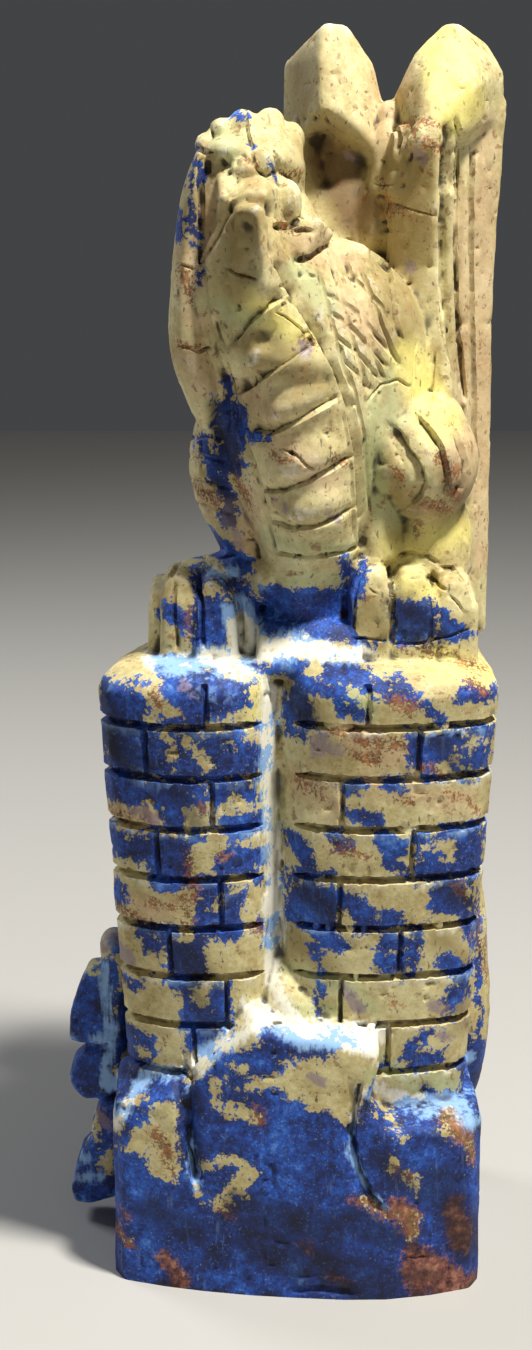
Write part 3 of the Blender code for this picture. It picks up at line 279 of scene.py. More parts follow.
rock(-8, 2.2, (-27.0, 22), (-27.2, 32.2), (-22.6, 32.8), (-19.3, 34.6), (-19.3, 22))
rock(-11, 2.0, (-16.4, 24), (-16.6, 36.8), (-13.0, 39.4), (-9.4, 42.6), (-6.6, 46.6), (-4.6, 45.2),
     (-4.0, 24))
rock(-11, 1.6, (-6.6, 24), (-5.6, 45.4), (-2.6, 44.2), (1.0, 43.4), (11.0, 43.2), (11.0, 41.4),
     (7.0, 24))
rock(-14, 1.4, (8.6, 22), (9.3, 33.6), (10.4, 31.6), (12.6, 29.6), (14, 22))
rock(-10, 1.4, (11.0, 22), (13.0, 29.3), (20, 29.3), (27.2, 29.3), (27.2, 22))
stone.chain(in_base, (-2.6, -13.0, 50.5, 2.6, 4.6, 2.6), (-1.4, -15.6, 46.4, 4.2, 6, 2.8),
            (0.6, -16.4, 42.6, 6.4, 6.6, 2.6))

stone.chain(in_base, (4, 16, 97, 8, 6, 7), (10, 22, 84, 7, 5.5, 8), (20, 20, 68, 6.5, 6, 8),
            (27, 12, 55, 4.6, 6, 5.0), (28, 9, 42, 4.6, 6, 7), (28, 9, 28, 4.6, 6, 6),
            (24, 17, 16, 5.4, 6, 7), (8, 24, 10, 7, 5, 8), (-10, 24, 10, 7, 5, 8),
            (-24, 15, 13, 5.4, 5.5, 8), (-29.4, 7, 20, 3.0, 5, 6), (-30, 4, 32, 2.8, 4.4, 6),
            (-29.6, 3, 43, 2.6, 4, 4), (-30.0, 3.2, 47.4, 2.4, 3.6, 2.8))
FINS = (((-33.4, 43.4), (-31.0, 43.6), (-34.8, 40.6), (-36.2, 36.4), (-36.4, 32.4), (-33, 32.0),
         (-29.6, 32), (-29.4, 43)),
        ((-33.6, 29.4), (-36.0, 27.2), (-36.6, 25.2), (-36.2, 23.6), (-34.8, 22.2), (-32, 22.6),
         (-29.6, 24), (-30, 30)),
        ((-31.6, 20.6), (-33.2, 15.6), (-29, 12), (-29, 20)),
        ((-33.4, 13.2), (-34.8, 11.6), (-35.8, 8.6), (-36.6, 4.8), (-36.3, 3.6), (-34.6, 3.4), (-31, 4.6),
         (-29.6, 13)))
for fin in FINS:
    stone.block(in_base, *((x, y - 0.1 * (x + 30), z, 1.1) for x, z in fin for y in (0.6, 4.4)))

corners = [(x, y + KNOB) for x, y in BASE_FRONT]
corners += [(27.2, 20.6), (25, 22.5), (-25, 22.5), (-27.3, 19.6)]
stone.block(in_base, *((x, y, z, KNOB) for z in (-2, 14, 26.9) for x, y in corners))
stone.block(in_base, *((x, y, z, 3) for x in (-17, 19) for y in (-11, 12) for z in (20, 95)))

# The tower of bricks: two bowed lobes with a hollow between them and a plain back, a little
# shallower and narrower at its foot, domed at the perch.
TOWER_EDGE = 95.5           # underside to the top edge of the top course
PERCH_RISE = PERCH - TOWER_EDGE
TOWER_TOP_WIDTH, TOWER_FOOT_WIDTH = 60.4, 53.6
TOWER_DEPTH = 47.0
TOWER_LEAN = 0.20           # share of its depth that the tower has lost at its foot
LOBE_BOW = 5.6              # how far a lobe draws back at its sides
CHANNEL_DEPTH, CHANNEL_WIDTH = 2.4, 4.0
CHANNEL_PLACE = -0.103      # its middle, as a share of half the tower's width
COURSE, COURSES = 8.0, 7    # height of a course of bricks, and how many there are
FIRST_LINE = 4.5            # top edge down to the first mortar line


def tower_plan():
    """Outline of the top course, as seen from above, from the front left round to the back left."""
    half = TOWER_TOP_WIDTH / 2
    wide = CHANNEL_WIDTH / 2 / half
    offsets = (-3.2, -1.9, -1.25, -0.8, -0.4, 0.0, 0.4, 0.8, 1.25, 1.9, 3.2)
    shares = [-0.95, -0.9, -0.84, -0.75, -0.66, -0.58, -0.5, -0.4]
    shares += [CHANNEL_PLACE + o * wide for o in offsets]
    shares += [0.2, 0.3, 0.38, 0.45, 0.54, 0.62, 0.71, 0.8, 0.88, 0.94]
    plan = []
    for s in shares:
        peak = -0.45 if s < CHANNEL_PLACE else 0.42
        outer = s * peak > 0 and abs(s) >= abs(peak)
        reach = 1.0 - abs(peak) if outer else abs(CHANNEL_PLACE - peak)
        bow = LOBE_BOW * min(abs(s - peak) / reach, 1.0) ** 2.4
        hollow = CHANNEL_DEPTH * math.exp(-((s - CHANNEL_PLACE) / (1.1 * wide)) ** 2)
        plan.append((s * half, -TOWER_DEPTH * 0.55 + bow + hollow))
    near = -TOWER_DEPTH * 0.55 + LOBE_BOW
    for s, y in ((1.0, 2.2), (1.0, 8), (1.0, 18), (0.99, 29), (0.90, 37.5), (0.70, 40), (0.45, 41),
                 (0.2, 41), (-0.05, 41), (-0.30, 40), (-0.62, 34), (-0.86, 22), (-0.96, 11), (-1.0, 2.4)):
        plan.append((s * half, near + y))
    return np.array(plan)


def tower_shares(z):
    """How much narrower and shallower the tower is at height z than at its top."""
    foot = TOWER_EDGE - 7.5 * COURSE
    t = np.clip((z - foot) / (TOWER_EDGE - foot), -0.6, 1.0)
    narrow = TOWER_FOOT_WIDTH / TOWER_TOP_WIDTH
    return narrow + (1 - narrow) * t, 1 - TOWER_LEAN * (1 - t)


plan = tower_plan()
levels = [(z, 0.0) for z in np.linspace(TOWER_EDGE - (COURSES + 2) * COURSE, TOWER_EDGE, 40)]
levels += [(TOWER_EDGE + rise * PERCH_RISE, inset)
           for rise, inset in ((0.35, 0.7), (0.68, 2.4), (0.9, 5.2), (1.0, 9.2))]
rings = []
for z, inset in levels:
    wide, deep = tower_shares(z)
    rings.append(np.column_stack([plan[:, 0] * wide * (1 - 2 * inset / TOWER_TOP_WIDTH),
                                  plan[:, 1] * deep * (1 - 2 * inset / TOWER_DEPTH),
                                  np.full(len(plan), z)]))
count = len(plan)
walls = [[k * count + i, k * count + (i + 1) % count, (k + 1) * count + (i + 1) % count,
          (k + 1) * count + i] for k in range(len(rings) - 1) for i in range(count)]
top = (len(rings) - 1) * count
stone.add(np.concatenate(rings), walls + [list(range(count))[::-1], [top + i for i in range(count)]])

# The lumps become one skin, fine enough for the carver's cuts.
mesh = bpy.data.meshes.new("dragon_carving")
mesh.from_pydata(np.concatenate(stone.points).tolist(), [], stone.faces)
carving = bpy.data.objects.new("dragon_carving", mesh)
bpy.context.collection.objects.link(carving)
bpy.ops.object.select_all(action="DESELECT")
carving.select_set(True)
bpy.context.view_layer.objects.active = carving


def finish_with(name, kind, **settings):
    """Add one modifier to the carving and apply it."""
    made = carving.modifiers.new(name, kind)
    for key, value in settings.items():
        setattr(made, key, value)
    bpy.ops.object.modifier_apply(modifier=name)


finish_with("fuse", "REMESH", mode="VOXEL", voxel_size=GRAIN)
finish_with("soften", "SMOOTH", factor=0.5, iterations=5)


def grain(points, size, seed=0):
    """Smooth random values from -1 to 1 that change over a distance of size."""
    spot = points / size + 17.3 * (seed + 1)
    cell = np.floor(spot).astype(np.int64)
    share = spot - cell
    share = share * share * (3 - 2 * share)
    total = np.zeros(len(points))
    for corner in range(8):
        step = np.array([corner & 1, corner >> 1 & 1, corner >> 2 & 1])
        key = (cell + step) @ np.array([73856093, 19349663, 83492791]) & 0x7fffffff
        key = (key ^ key >> 13) * 1274126177 & 0x7fffffff
        key = (key ^ key >> 16) * 668265263 & 0x7fffffff
        weight = np.prod(np.where(step == 1, share, 1 - share), axis=1)
        total += weight * (key / 0x3fffffff - 1)
    return total


class Skin:
    """The surface of the carving as arrays, so that a whole cut is pressed in at once."""

    def __init__(self, mesh):
        self.mesh = mesh
        self.points = np.empty(len(mesh.vertices) * 3)
        mesh.vertices.foreach_get("co", self.points)
        self.points = self.points.reshape(-1, 3)
        self.read_normals()

    def read_normals(self):
        self.normals = np.empty(self.points.size)
        self.mesh.vertex_normals.foreach_get("vector", self.normals)
        self.normals = self.normals.reshape(-1, 3)

    def settle(self):
        """Hand the moved points back to the mesh and take its new normals."""
        self.mesh.vertices.foreach_set("co", self.points.ravel())
        self.mesh.update()
        self.read_normals()

    def press(self, depth):
        """Move every point inwards by its own depth."""
        self.points -= self.normals * depth[:, None]


def gaps(seen, line):
    """For flat points: distance to a line, the side that they lie on, and distance from its ends."""
    line = np.array(line, float)
    best = np.full(len(seen), 1e9)
    side = np.zeros(len(seen))
    along_line = np.zeros(len(seen))
    run = 0.0
    for a, b in zip(line, line[1:]):
        along = b - a
        length = math.hypot(*along)
        t = np.clip(((seen - a) @ along) / length ** 2, 0, 1)
        off = seen - a - t[:, None] * along
        gap = np.hypot(off[:, 0], off[:, 1])
        closer = gap < best
        side = np.where(closer, np.sign(along[0] * off[:, 1] - along[1] * off[:, 0]), side)
        along_line = np.where(closer, run + t * length, along_line)
        best = np.where(closer, gap, best)
        run += length
    return best, side, np.minimum(along_line, run - along_line)


def neighbours_of(mesh):
    """A function that gives every point the mean of a value at the points joined to it."""
    edges = np.empty(len(mesh.edges) * 2, dtype=np.int64)
    mesh.edges.foreach_get("vertices", edges)
    edges = edges.reshape(-1, 2)
    count = np.maximum(np.bincount(edges.ravel(), minlength=len(mesh.vertices)), 1)

    def mean(values):
        total = np.bincount(edges[:, 0], values[edges[:, 1]], len(values))
        total += np.bincount(edges[:, 1], values[edges[:, 0]], len(values))
        return total / count

    return mean


skin = Skin(carving.data)

# The hollow between the wings was rubbed out smooth.
RUBBED_X, RUBBED_Z = 8.6, 67.0
RUBBED_WIDE, RUBBED_HIGH = 6.2, 9.5
RUBS = 45
mean = neighbours_of(carving.data)
x, y, z = skin.points.T
off = np.hypot((x - RUBBED_X) / RUBBED_WIDE, (z - PERCH - RUBBED_Z) / RUBBED_HIGH)
rubbed = (np.clip(1.6 - 1.2 * off, 0, 1) * np.clip(y / 3, 0, 1))[:, None]
for _ in range(RUBS):
    skin.points += rubbed * (np.column_stack([mean(axis) for axis in skin.points.T]) - skin.points)
skin.settle()
low = skin.points[:, 2] < 0.3
skin.points[low, 2] = 0.0
skin.settle()

# Before the cuts: the stone isn't quite flat anywhere, as it was ground by hand.
uneven = 0.13 * grain(skin.points, 6.0, 1) + 0.07 * grain(skin.points, 2.6, 2)
uneven *= np.clip(skin.points[:, 2] / 2, 0, 1)
skin.press(uneven)
skin.settle()

# Cuts follow lines of (x, z) points as seen from the front, and are pressed into the front or
# into the back. A line wavers a little, as a hand cuts it.
WAVER = 0.16
LEDGE_DROP = 0.35           # width of the sharp side of a ledge


def cuts(rows, lift, facing):
    """Press in grooves, ledges and dents whose z counts from the height lift.

    A row is (kind, half width, depth, points). A groove is cut to both sides of its line. A
    ledge drops sharply at its line and rises again slowly on the left of the way it runs. A
    dent is a groove with soft sides, and a negative depth raises a ridge.
    """
    side_on = facing(skin)
    seen = from_front(skin.points) - np.array([0, lift])
    seen[:, 0] += WAVER * grain(skin.points, 2.2, 3)
    seen[:, 1] += WAVER * grain(skin.points, 2.2, 4)
    sink = np.zeros(len(seen))
    for kind, half, depth, *line in rows:
        ends = np.array(line, float)
        inside = (seen > ends.min(0) - half - 0.5) & (seen < ends.max(0) + half + 0.5)
        near = np.nonzero(inside.all(1) & side_on)[0]
        if not len(near):
            continue
        gap, side, run = gaps(seen[near], line)
        if kind == "groove":
            dip = np.clip(1 - (gap / half) ** 2, 0, 1) ** 0.8
        elif kind == "ledge":
            slope = np.clip(1 - gap / half, 0, 1) ** 1.3
            dip = np.where(side > 0, slope, np.clip(1 - gap / LEDGE_DROP, 0, 1))
        else:
            dip = np.clip(1 - (gap / half) ** 2, 0, 1) ** 2
        if kind != "dent":
            dip *= np.clip(0.25 + run / 1.2, 0, 1) * (0.9 + 0.25 * grain(skin.points[near], 1.7, 5))
        dip *= depth
        if depth > 0:
            sink[near] = np.maximum(sink[near], dip)
        else:
            sink[near] = np.where(sink[near] > 0, sink[near] + dip, np.minimum(sink[near], dip))
    skin.press(sink)
    skin.settle()


def from_front(points):
    return points[:, [0, 2]].copy()


def front_side(skin):
    return (skin.normals[:, 1] < 0.05) & (skin.points[:, 1] < 12)


def back_side(skin):
    return (skin.normals[:, 1] > 0.05) & (skin.points[:, 1] > 10)


def refine(wanted):
    """Divide the faces whose corners are all wanted, so that narrow cuts have points to move."""
    sizes = np.empty(len(carving.data.polygons), dtype=np.int64)
    carving.data.polygons.foreach_get("loop_total", sizes)
    corners = np.empty(len(carving.data.loops), dtype=np.int64)
    carving.data.loops.foreach_get("vertex_index", corners)
    whole = np.minimum.reduceat(wanted[corners].astype(int), np.cumsum(sizes) - sizes) > 0
    bpy.context.tool_settings.mesh_select_mode = (False, False, True)
    carving.data.polygons.foreach_set("select", whole)
    bpy.ops.object.mode_set(mode="EDIT")
    bpy.ops.mesh.subdivide(number_cuts=1, smoothness=0)
    bpy.ops.object.mode_set(mode="OBJECT")
    return Skin(carving.data)


# Broad hollows first: under the left wing, between wing and head, the right wing's flat
# facets and the slack between its arm and folds.
cuts((
    ("dent", 2.4, 1.2, (3.4, 76.0), (4.4, 70.5)),
    ("dent", 2.4, 1.0, (22.4, 76.5), (23.2, 70)),
    ("dent", 3.0, 1.2, (12.8, 66), (12.6, 58)),
    ("dent", 2.6, 0.8, (-8.0, 62.5), (-7.4, 57.0)),
    ("dent", 3.5, -0.9, (-5.6, 44.0), (3.0, 44.0)),
    ("dent", 3.5, -0.8, (-2.6, 37.0), (2.6, 38.5)),
    ("dent", 3.5, -0.8, (-2.0, 29.0), (4.0, 31.0)),
    ("dent", 2.6, -0.6, (0.0, 22.8), (4.5, 24.0)),
), PERCH, front_side)

# Belly plates between two long lines, the smooth band beside them, the crossed scales of the
# flank, the head's creases, the overlapping folds of the thigh, toes and wing folds.
BELLY_LEFT = ((-12.4, 50.2), (-11.5, 47.0), (-10.2, 41.7), (-8.7, 34.4), (-6.8, 29.3), (-5.3, 23.2),
              (-3.7, 15.8))
BELLY_RIGHT = ((-3.6, 58.1), (-0.9, 52.8), (2.1, 48.2), (5.0, 43.1), (6.9, 37.5), (8.2, 30.7),
               (8.7, 24.8), (9.4, 15.8))
figure_cuts = [
    ("groove", 0.55, 0.75, *BELLY_LEFT),
    ("ledge", 1.5, 1.1, *BELLY_RIGHT),
    ("groove", 0.3, 0.3, (6.2, 37.0), (7.2, 30.4), (7.8, 24.9), (8.2, 17.6)),
    ("groove", 0.35, 0.35, (2.5, 56.7), (3.7, 52.8), (4.8, 48.5), (6.8, 43.0), (8.3, 38.5), (9.4, 33.0),
     (10.0, 27.0), (10.8, 21.1)),
    ("ledge", 2.4, 1.0, (-9.7, 46.8), (-7.6, 49.3), (-5.6, 51.2), (-2.4, 53.1)),
    ("ledge", 2.6, 1.1, (-9.2, 39.3), (-5.8, 41.5), (-1.8, 44.5), (2.2, 47.0)),
    ("ledge", 2.4, 1.1, (-7.4, 34.3), (-4.2, 34.0), (0.7, 36.3), (5.8, 39.1)),
    ("ledge", 1.6, 0.9, (-6.3, 25.3), (-2.1, 25.7), (1.0, 27.0), (4.4, 28.6), (7.9, 30.5)),
    ("ledge", 1.3, 0.8, (-5.1, 20.9), (-2.1, 20.2), (2.2, 20.5), (5.3, 21.5), (8.5, 22.9)),
    ("ledge", 1.0, 0.7, (-3.8, 15.8), (2.3, 15.6), (6.1, 15.8), (9.6, 16.3)),
    # head
    ("groove", 0.5, 1.0, (-15.2, 74.3), (-13.6, 73.5), (-12.0, 72.5), (-10.4, 71.4)),
    ("groove", 0.4, 0.5, (-8.1, 72.8), (-7.1, 71.7)),
    ("groove", 0.35, 0.6, (-7.1, 73.2), (-6.5, 71.6), (-5.6, 70.5), (-4.6, 69.9), (-3.7, 70.4),
     (-3.2, 71.6), (-3.4, 72.8), (-4.4, 73.8)),
    ("groove", 0.45, 0.6, (-10.2, 66.6), (-9.2, 67.3), (-7.9, 68.0)),
    ("groove", 0.4, 0.5, (-9.4, 68.3), (-9.2, 68.6)),
    ("ledge", 1.2, 0.9, (-9.6, 66.2), (-11.4, 63.1), (-12.6, 61.1), (-14.1, 58.9)),
    ("groove", 0.6, 1.2, (-3.7, 63.2), (-1.8, 62.9), (0.2, 64.0)),
    ("groove", 0.45, 0.7, (-1.4, 62.1), (0.6, 62.5), (1.8, 62.2)),
    ("groove", 0.45, 0.8, (-0.6, 58.2), (1.7, 58.7), (3.8, 60.4)),
    ("ledge", 1.6, 0.5, (-4.9, 66.6), (-4.3, 63.0), (-4.2, 58.9)),
    ("groove", 0.3, 0.7, (-7.9, 80.0), (-7.6, 77.0), (-7.2, 75.0), (-6.8, 73.8)),
    ("groove", 0.3, 0.5, (-12.9, 77.2), (-12.5, 75.4)),
    ("groove", 0.35, 0.5, (-10.4, 75.2), (-9.7, 74.6)),
    ("groove", 0.25, 0.3, (-4.8, 79.5), (-4.6, 77.0)),
    ("groove", 0.25, 0.3, (-2.2, 79.0), (-1.9, 77.2)),
    # cracks
    ("groove", 0.25, 0.6, (-10.8, 57.4), (-9.2, 56.4), (-8.2, 56.3), (-6.3, 55.7)),
    ("groove", 0.22, 0.5, (-3.4, 51.1), (-2.2, 50.6), (-1.2, 49.8), (1.6, 47.4)),
    ("groove", 0.2, 0.4, (-1.8, 53.0), (-0.2, 51.2), (0.6, 50.6)),
    ("groove", 0.24, 0.5, (-2.9, 31.9), (-0.6, 30.9), (1.0, 29.4), (2.6, 28.8)),
    ("groove", 0.2, 0.5, (13.9, 66.8), (17.0, 65.6), (20.6, 64.6)),
    ("groove", 0.2, 0.4, (11.8, 69.6), (14.6, 69.2)),
    ("dent", 0.5, 0.9, (-8.9, 51.9), (-8.8, 51.6)),
    ("dent", 0.45, 0.6, (-2.6, 54.9), (-2.1, 54.6)),
    ("dent", 0.5, 0.9, (17.0, 25.2), (17.1, 25.1)),
    ("dent", 0.9, 0.9, (1.8, 47.4), (2.2, 46.9)),
    # lock along the neck and the shoulder's shadow line beside it
    ("groove", 0.5, 0.8, (-14.3, 72.6), (-14.0, 66.7), (-14.1, 59.0), (-13.6, 52.7), (-13.0, 48.4),
     (-11.6, 43.3), (-10.7, 40.5), (-10.4, 34.0)),
    ("groove", 0.35, 0.5, (-17.6, 46.3), (-14.4, 45.5), (-12.4, 46.2)),
    ("groove", 0.3, 0.4, (-17.8, 58.0), (-15.0, 57.0)),
    # thigh
    ("ledge", 2.6, 1.2, (16.6, 22.4), (18.0, 23.8), (18.6, 26.2), (18.0, 28.4), (16.2, 31.1), (15.1, 33.4),
     (14.0, 34.4)),
    ("ledge", 2.4, 1.2, (21.8, 23.2), (22.3, 25.9), (21.7, 29.1), (21.0, 31.4), (19.9, 33.2), (17.6, 35.9)),
    ("ledge", 2.0, 1.0, (23.2, 23.0), (24.7, 25.4), (25.1, 28.2), (24.4, 31.0), (23.2, 34.0)),
    ("groove", 0.35, 0.5, (13.7, 32.3), (14.9, 30.5), (15.4, 28.4)),
    ("groove", 0.3, 0.4, (9.8, 38.2), (12.0, 40.4), (14.6, 41.0), (16.8, 39.8)),
    ("groove", 0.45, 0.6, (17.8, 22.6), (19.0, 23.6), (20.2, 22.8)),
    ("groove", 0.45, 0.7, (20.6, 22.6), (21.4, 23.6), (22.8, 22.4)),
    ("groove", 0.22, 0.3, (17.4, 46.5), (17.0, 41.0), (16.6, 37.5)),
    ("groove", 0.22, 0.3, (20.4, 45.0), (20.2, 40.0), (19.6, 37.0)),
    # knee on the left
    ("groove", 0.4, 0.5, (-17.6, 31.4), (-14.0, 32.6), (-11.4, 32.4)),
    ("groove", 0.4, 0.5, (-17.6, 29.0), (-13.8, 29.4), (-10.9, 29.0)),
    ("groove", 0.4, 0.5, (-17.2, 25.6), (-13.6, 25.7), (-10.2, 25.0)),
    ("groove", 0.4, 0.5, (-16.4, 22.0), (-13.0, 21.8), (-9.6, 21.1)),
    ("groove", 0.3, 0.4, (-14.6, 33.2), (-14.8, 26.0), (-13.0, 20.0)),
    # right foot
    ("groove", 0.35, 0.5, (8.2, 4.2), (8.3, 9.0), (8.9, 12.2), (10.4, 13.8), (12.6, 13.9), (13.6, 13.0)),
    ("groove", 0.5, 0.9, (13.7, 13.0), (13.9, 8.5), (13.9, 2.2)),
    ("groove", 0.3, 0.5, (20.3, 12.2), (20.0, 8.5), (19.6, 1.2)),
    ("groove", 0.3, 0.6, (7.9, 3.1), (13.0, 2.7)),
    ("groove", 0.35, 0.5, (13.9, 2.4), (18.1, 2.2), (22.7, 3.2), (25.8, 4.6)),
    ("groove", 0.5, 0.6, (15.2, 14.4), (17.0, 15.2), (19.4, 14.6), (21.4, 13.2)),
    ("groove", 0.35, 0.5, (15.6, 12.2), (18.2, 12.4), (20.4, 10.8), (22.6, 10.0)),
    ("groove", 0.3, 0.5, (21.4, 12.8), (23.4, 12.6), (25.4, 10.6), (26.2, 7.6)),
    ("groove", 0.3, 0.5, (22.4, 9.4), (23.8, 8.2), (24.6, 6.8)),
    ("groove", 0.2, 0.4, (10.4, 10.6), (11.6, 9.6)),
    # left foot
    ("groove", 0.5, 0.9, (-15.2, 12.4), (-14.6, 8.3), (-14.3, 1.6)),
    ("groove", 0.4, 0.7, (-18.6, 11.4), (-18.7, 8.1), (-18.2, 1.0)),
    ("groove", 0.35, 0.5, (-20.0, 10.9), (-17.6, 13.6), (-14.6, 14.2), (-12.6, 12.8)),
    ("groove", 0.4, 0.5, (-12.0, 12.6), (-9.8, 11.4), (-8.6, 6.7), (-8.4, 1.5)),
    # wings: broken wrist, arm edges, hanging folds, the left wing's creases
    ("groove", 0.5, 0.7, (14.6, 78.6), (15.2, 76.0), (14.8, 74.2)),
    ("groove", 0.5, 1.0, (23.6, 78.6), (24.6, 76.4)),
    ("ledge", 1.5, 1.0, (21.2, 74.3), (21.0, 67.1), (21.2, 58.2), (21.4, 49.3), (22.6, 43.4)),
    ("groove", 0.45, 0.9, (24.3, 75.0), (24.2, 62.8), (24.8, 50.6), (25.8, 41.4), (26.6, 36.6)),
    ("groove", 0.5, 1.1, (27.0, 74.7), (27.0, 62.8), (27.6, 48.9), (28.2, 36.3), (28.6, 24.0)),
    ("ledge", 1.8, 0.7, (14.4, 48.6), (13.4, 58.3), (13.2, 65.0)),
    ("groove", 0.6, 0.7, (1.8, 79.8), (3.6, 79.2), (5.0, 77.8)),
]
for row in (((2.5, 56.7), (3.7, 52.8), (4.8, 48.5), (6.0, 44.2), (7.8, 39.6)),
            ((4.6, 57.8), (5.9, 53.4), (7.2, 48.5), (8.7, 43.9), (9.9, 39.6)),
            ((6.8, 58.0), (8.2, 54.1), (9.6, 49.1), (11.2, 44.3), (12.4, 41.1)),
            ((8.9, 57.4), (10.3, 53.7), (11.9, 49.5), (13.4, 45.7), (14.8, 42.8)),
            ((11.0, 56.6), (12.4, 52.9), (13.9, 49.4), (15.1, 46.5))):
    figure_cuts.append(("groove", 0.42, 0.55, *row))
for row in (((9.2, 57.4), (11.8, 55.1), (14.1, 51.7)),
            ((5.8, 56.9), (8.8, 54.9), (12.0, 51.7), (14.7, 48.0)),
            ((3.1, 53.9), (5.7, 52.6), (8.0, 51.0), (10.8, 47.9), (13.6, 44.9)),
            ((4.2, 51.1), (7.2, 49.0), (10.5, 45.8), (13.0, 43.0)),
            ((4.8, 48.0), (8.1, 45.4), (10.8, 42.4), (12.3, 40.8)),
            ((6.0, 44.6), (8.6, 42.2), (10.8, 39.6))):
    figure_cuts.append(("groove", 0.42, 0.5, *row))

# The mesh is made finer beside the figure's cuts and the mortar lines before they are pressed in.
BESIDE_CUTS, BESIDE_MORTAR = 1.2, 1.1
seen = from_front(skin.points) - np.array([0, PERCH])
sharp = np.zeros(len(seen), dtype=bool)
for kind, _, _, *line in figure_cuts:
    near = ((seen > np.min(line, 0) - 1.4) & (seen < np.max(line, 0) + 1.4)).all(1)
    near = np.nonzero(near & front_side(skin))[0]
    if kind != "dent" and len(near):
        sharp[near] |= gaps(seen[near], line)[0] < BESIDE_CUTS
for k in range(COURSES + 1):
    line_z = TOWER_EDGE - FIRST_LINE - k * COURSE
    sharp |= (np.abs(skin.points[:, 2] - line_z) < BESIDE_MORTAR) & (np.abs(skin.normals[:, 2]) < 0.5)
skin = refine(sharp)
cuts(figure_cuts, PERCH, front_side)

# The plain back: wide folds of the wings, and the line where the two wings meet.
cuts([
    ("groove", 1.4, 2.0, (12.6, 84), (12.4, 60), (12.0, 2)),
    ("ledge", 2.6, 0.9, (-6.4, 62), (-6.0, 30), (-4.4, 4)),
    ("ledge", 2.6, 0.9, (-1.4, 72), (-1.0, 36), (0.6, 2)),
    ("ledge", 2.6, 0.9, (4.8, 82), (5.4, 40), (6.2, 2)),
    ("ledge", 2.6, 0.9, (19.4, 82), (18.6, 40), (17.6, 0)),
    ("ledge", 2.6, 0.9, (24.6, 82), (24.2, 40), (23.4, 0)),
], PERCH, back_side)

# Rocks: two long crevices that the carver ran down from the ledges, and the broken lower edge.
cuts([
    ("ledge", 2.8, 2.3, (-17.8, 36.6), (-17.7, 32.0), (-17.6, 28.0), (-17.3, 23.4), (-16.2, 18.2)),
    ("ledge", 2.4, 1.8, (13.7, 15.1), (11.3, 18.0), (9.6, 22.3), (8.5, 27.3), (8.8, 31.8), (9.6, 36.0)),
    ("groove", 0.8, 0.7, (-1.0, 1.2), (4.0, 1.8), (9.0, 1.2)),
    ("groove", 0.3, 0.3, (-1.5, 3.4), (3.0, 3.9)),
], 0, front_side)

# The courses of brick: mortar lines are sawn all round the tower, except in the hollow between
# the lobes, and upright joints between them. Crumbs of white grit were left in some lines.
def on_courses(points):
    """Where each point lies on the tower: whether on its wall at all, its x and y on the top course,
    the distance from the hollow, the height above the nearest mortar line, and the course."""
    wide, deep = tower_shares(points[:, 2])
    flat = points[:, :2] / np.column_stack([wide, deep])
    turn = np.arctan2(plan[:, 1], plan[:, 0])
    order = np.argsort(turn)
    reach = np.interp(np.arctan2(flat[:, 1], flat[:, 0]), turn[order], np.hypot(*plan[order].T),
                      period=2 * math.pi)
    on_wall = np.abs(np.hypot(*flat.T) - reach) < np.where(points[:, 1] > 4, 3.0, 1.4)
    on_wall &= (points[:, 2] > 30) & (points[:, 2] < PERCH)
    from_channel = np.where(flat[:, 1] < 0, np.abs(flat[:, 0] - CHANNEL_PLACE * TOWER_TOP_WIDTH / 2), 99)
    x, y, z = points.T
    tilt = 0.25 * grain(np.column_stack([x, y, np.round(z / COURSE)]), 9.0, 6)
    courses = (TOWER_EDGE - FIRST_LINE + tilt - z) / COURSE
    nearest = np.clip(np.round(courses), 0, COURSES)
    return on_wall, flat, from_channel, (nearest - courses) * COURSE, np.floor(courses).astype(int) + 1


on_tower, flat, from_channel, above, course_of = on_courses(skin.points)
MORTAR_HALF, MORTAR_DEPTH = 0.62, 1.35
CRUMBS = ((5.6, 0, 2.4), (21.6, 0, 1.2), (17.2, 2, 1.8), (2.8, 4, 0.8), (4.8, 4, 0.7), (8.4, 4, 0.9),
          (10.6, 4, 0.6), (23.2, 4, 0.9), (9.6, 5, 0.5), (9.4, 6, 1.0), (12.6, 6, 1.2), (6.4, 6, 0.5))
chipped = 0.10 * grain(skin.points, 1.1, 7) + 0.06 * grain(skin.points, 0.5, 8)
half = MORTAR_HALF * np.clip((from_channel - 2.3) / 2.2, 0, 1) ** 0.6 + chipped
mortar = np.clip(1 - (np.abs(above) / np.maximum(half, 0.05)) ** 4, 0, 1) ** 0.7
mortar = np.where(on_tower & (half > 0.1), mortar, 0)
crumbs = np.zeros(len(mortar))
for crumb_x, course, size in CRUMBS:
    near = np.hypot((flat[:, 0] - crumb_x) / size, above / 0.85)
    line_z = TOWER_EDGE - FIRST_LINE - course * COURSE
    here = on_tower & (flat[:, 1] < 0) & (np.abs(skin.points[:, 2] - line_z) < 3)
    crumbs = np.maximum(crumbs, np.where(here, np.clip(2.2 - 2 * near, 0, 1), 0))
mortar *= 1 - 0.9 * crumbs
JOINTS = ((-13.9, 10.1), (-23.2, 18.0), (-13.4, 6.6), (-22.3, 17.9), (-12.5, 6.6), (-21.2, 16.8),
          (-12.0, 7.2), (-17.9, 15.5), (-12.0, 7.0))
JOINT_HALF, JOINT_SHARE = 0.46, 0.8
wavy = 0.12 * grain(skin.points, 2.0, 9)
flat_x, flat_y = flat.T
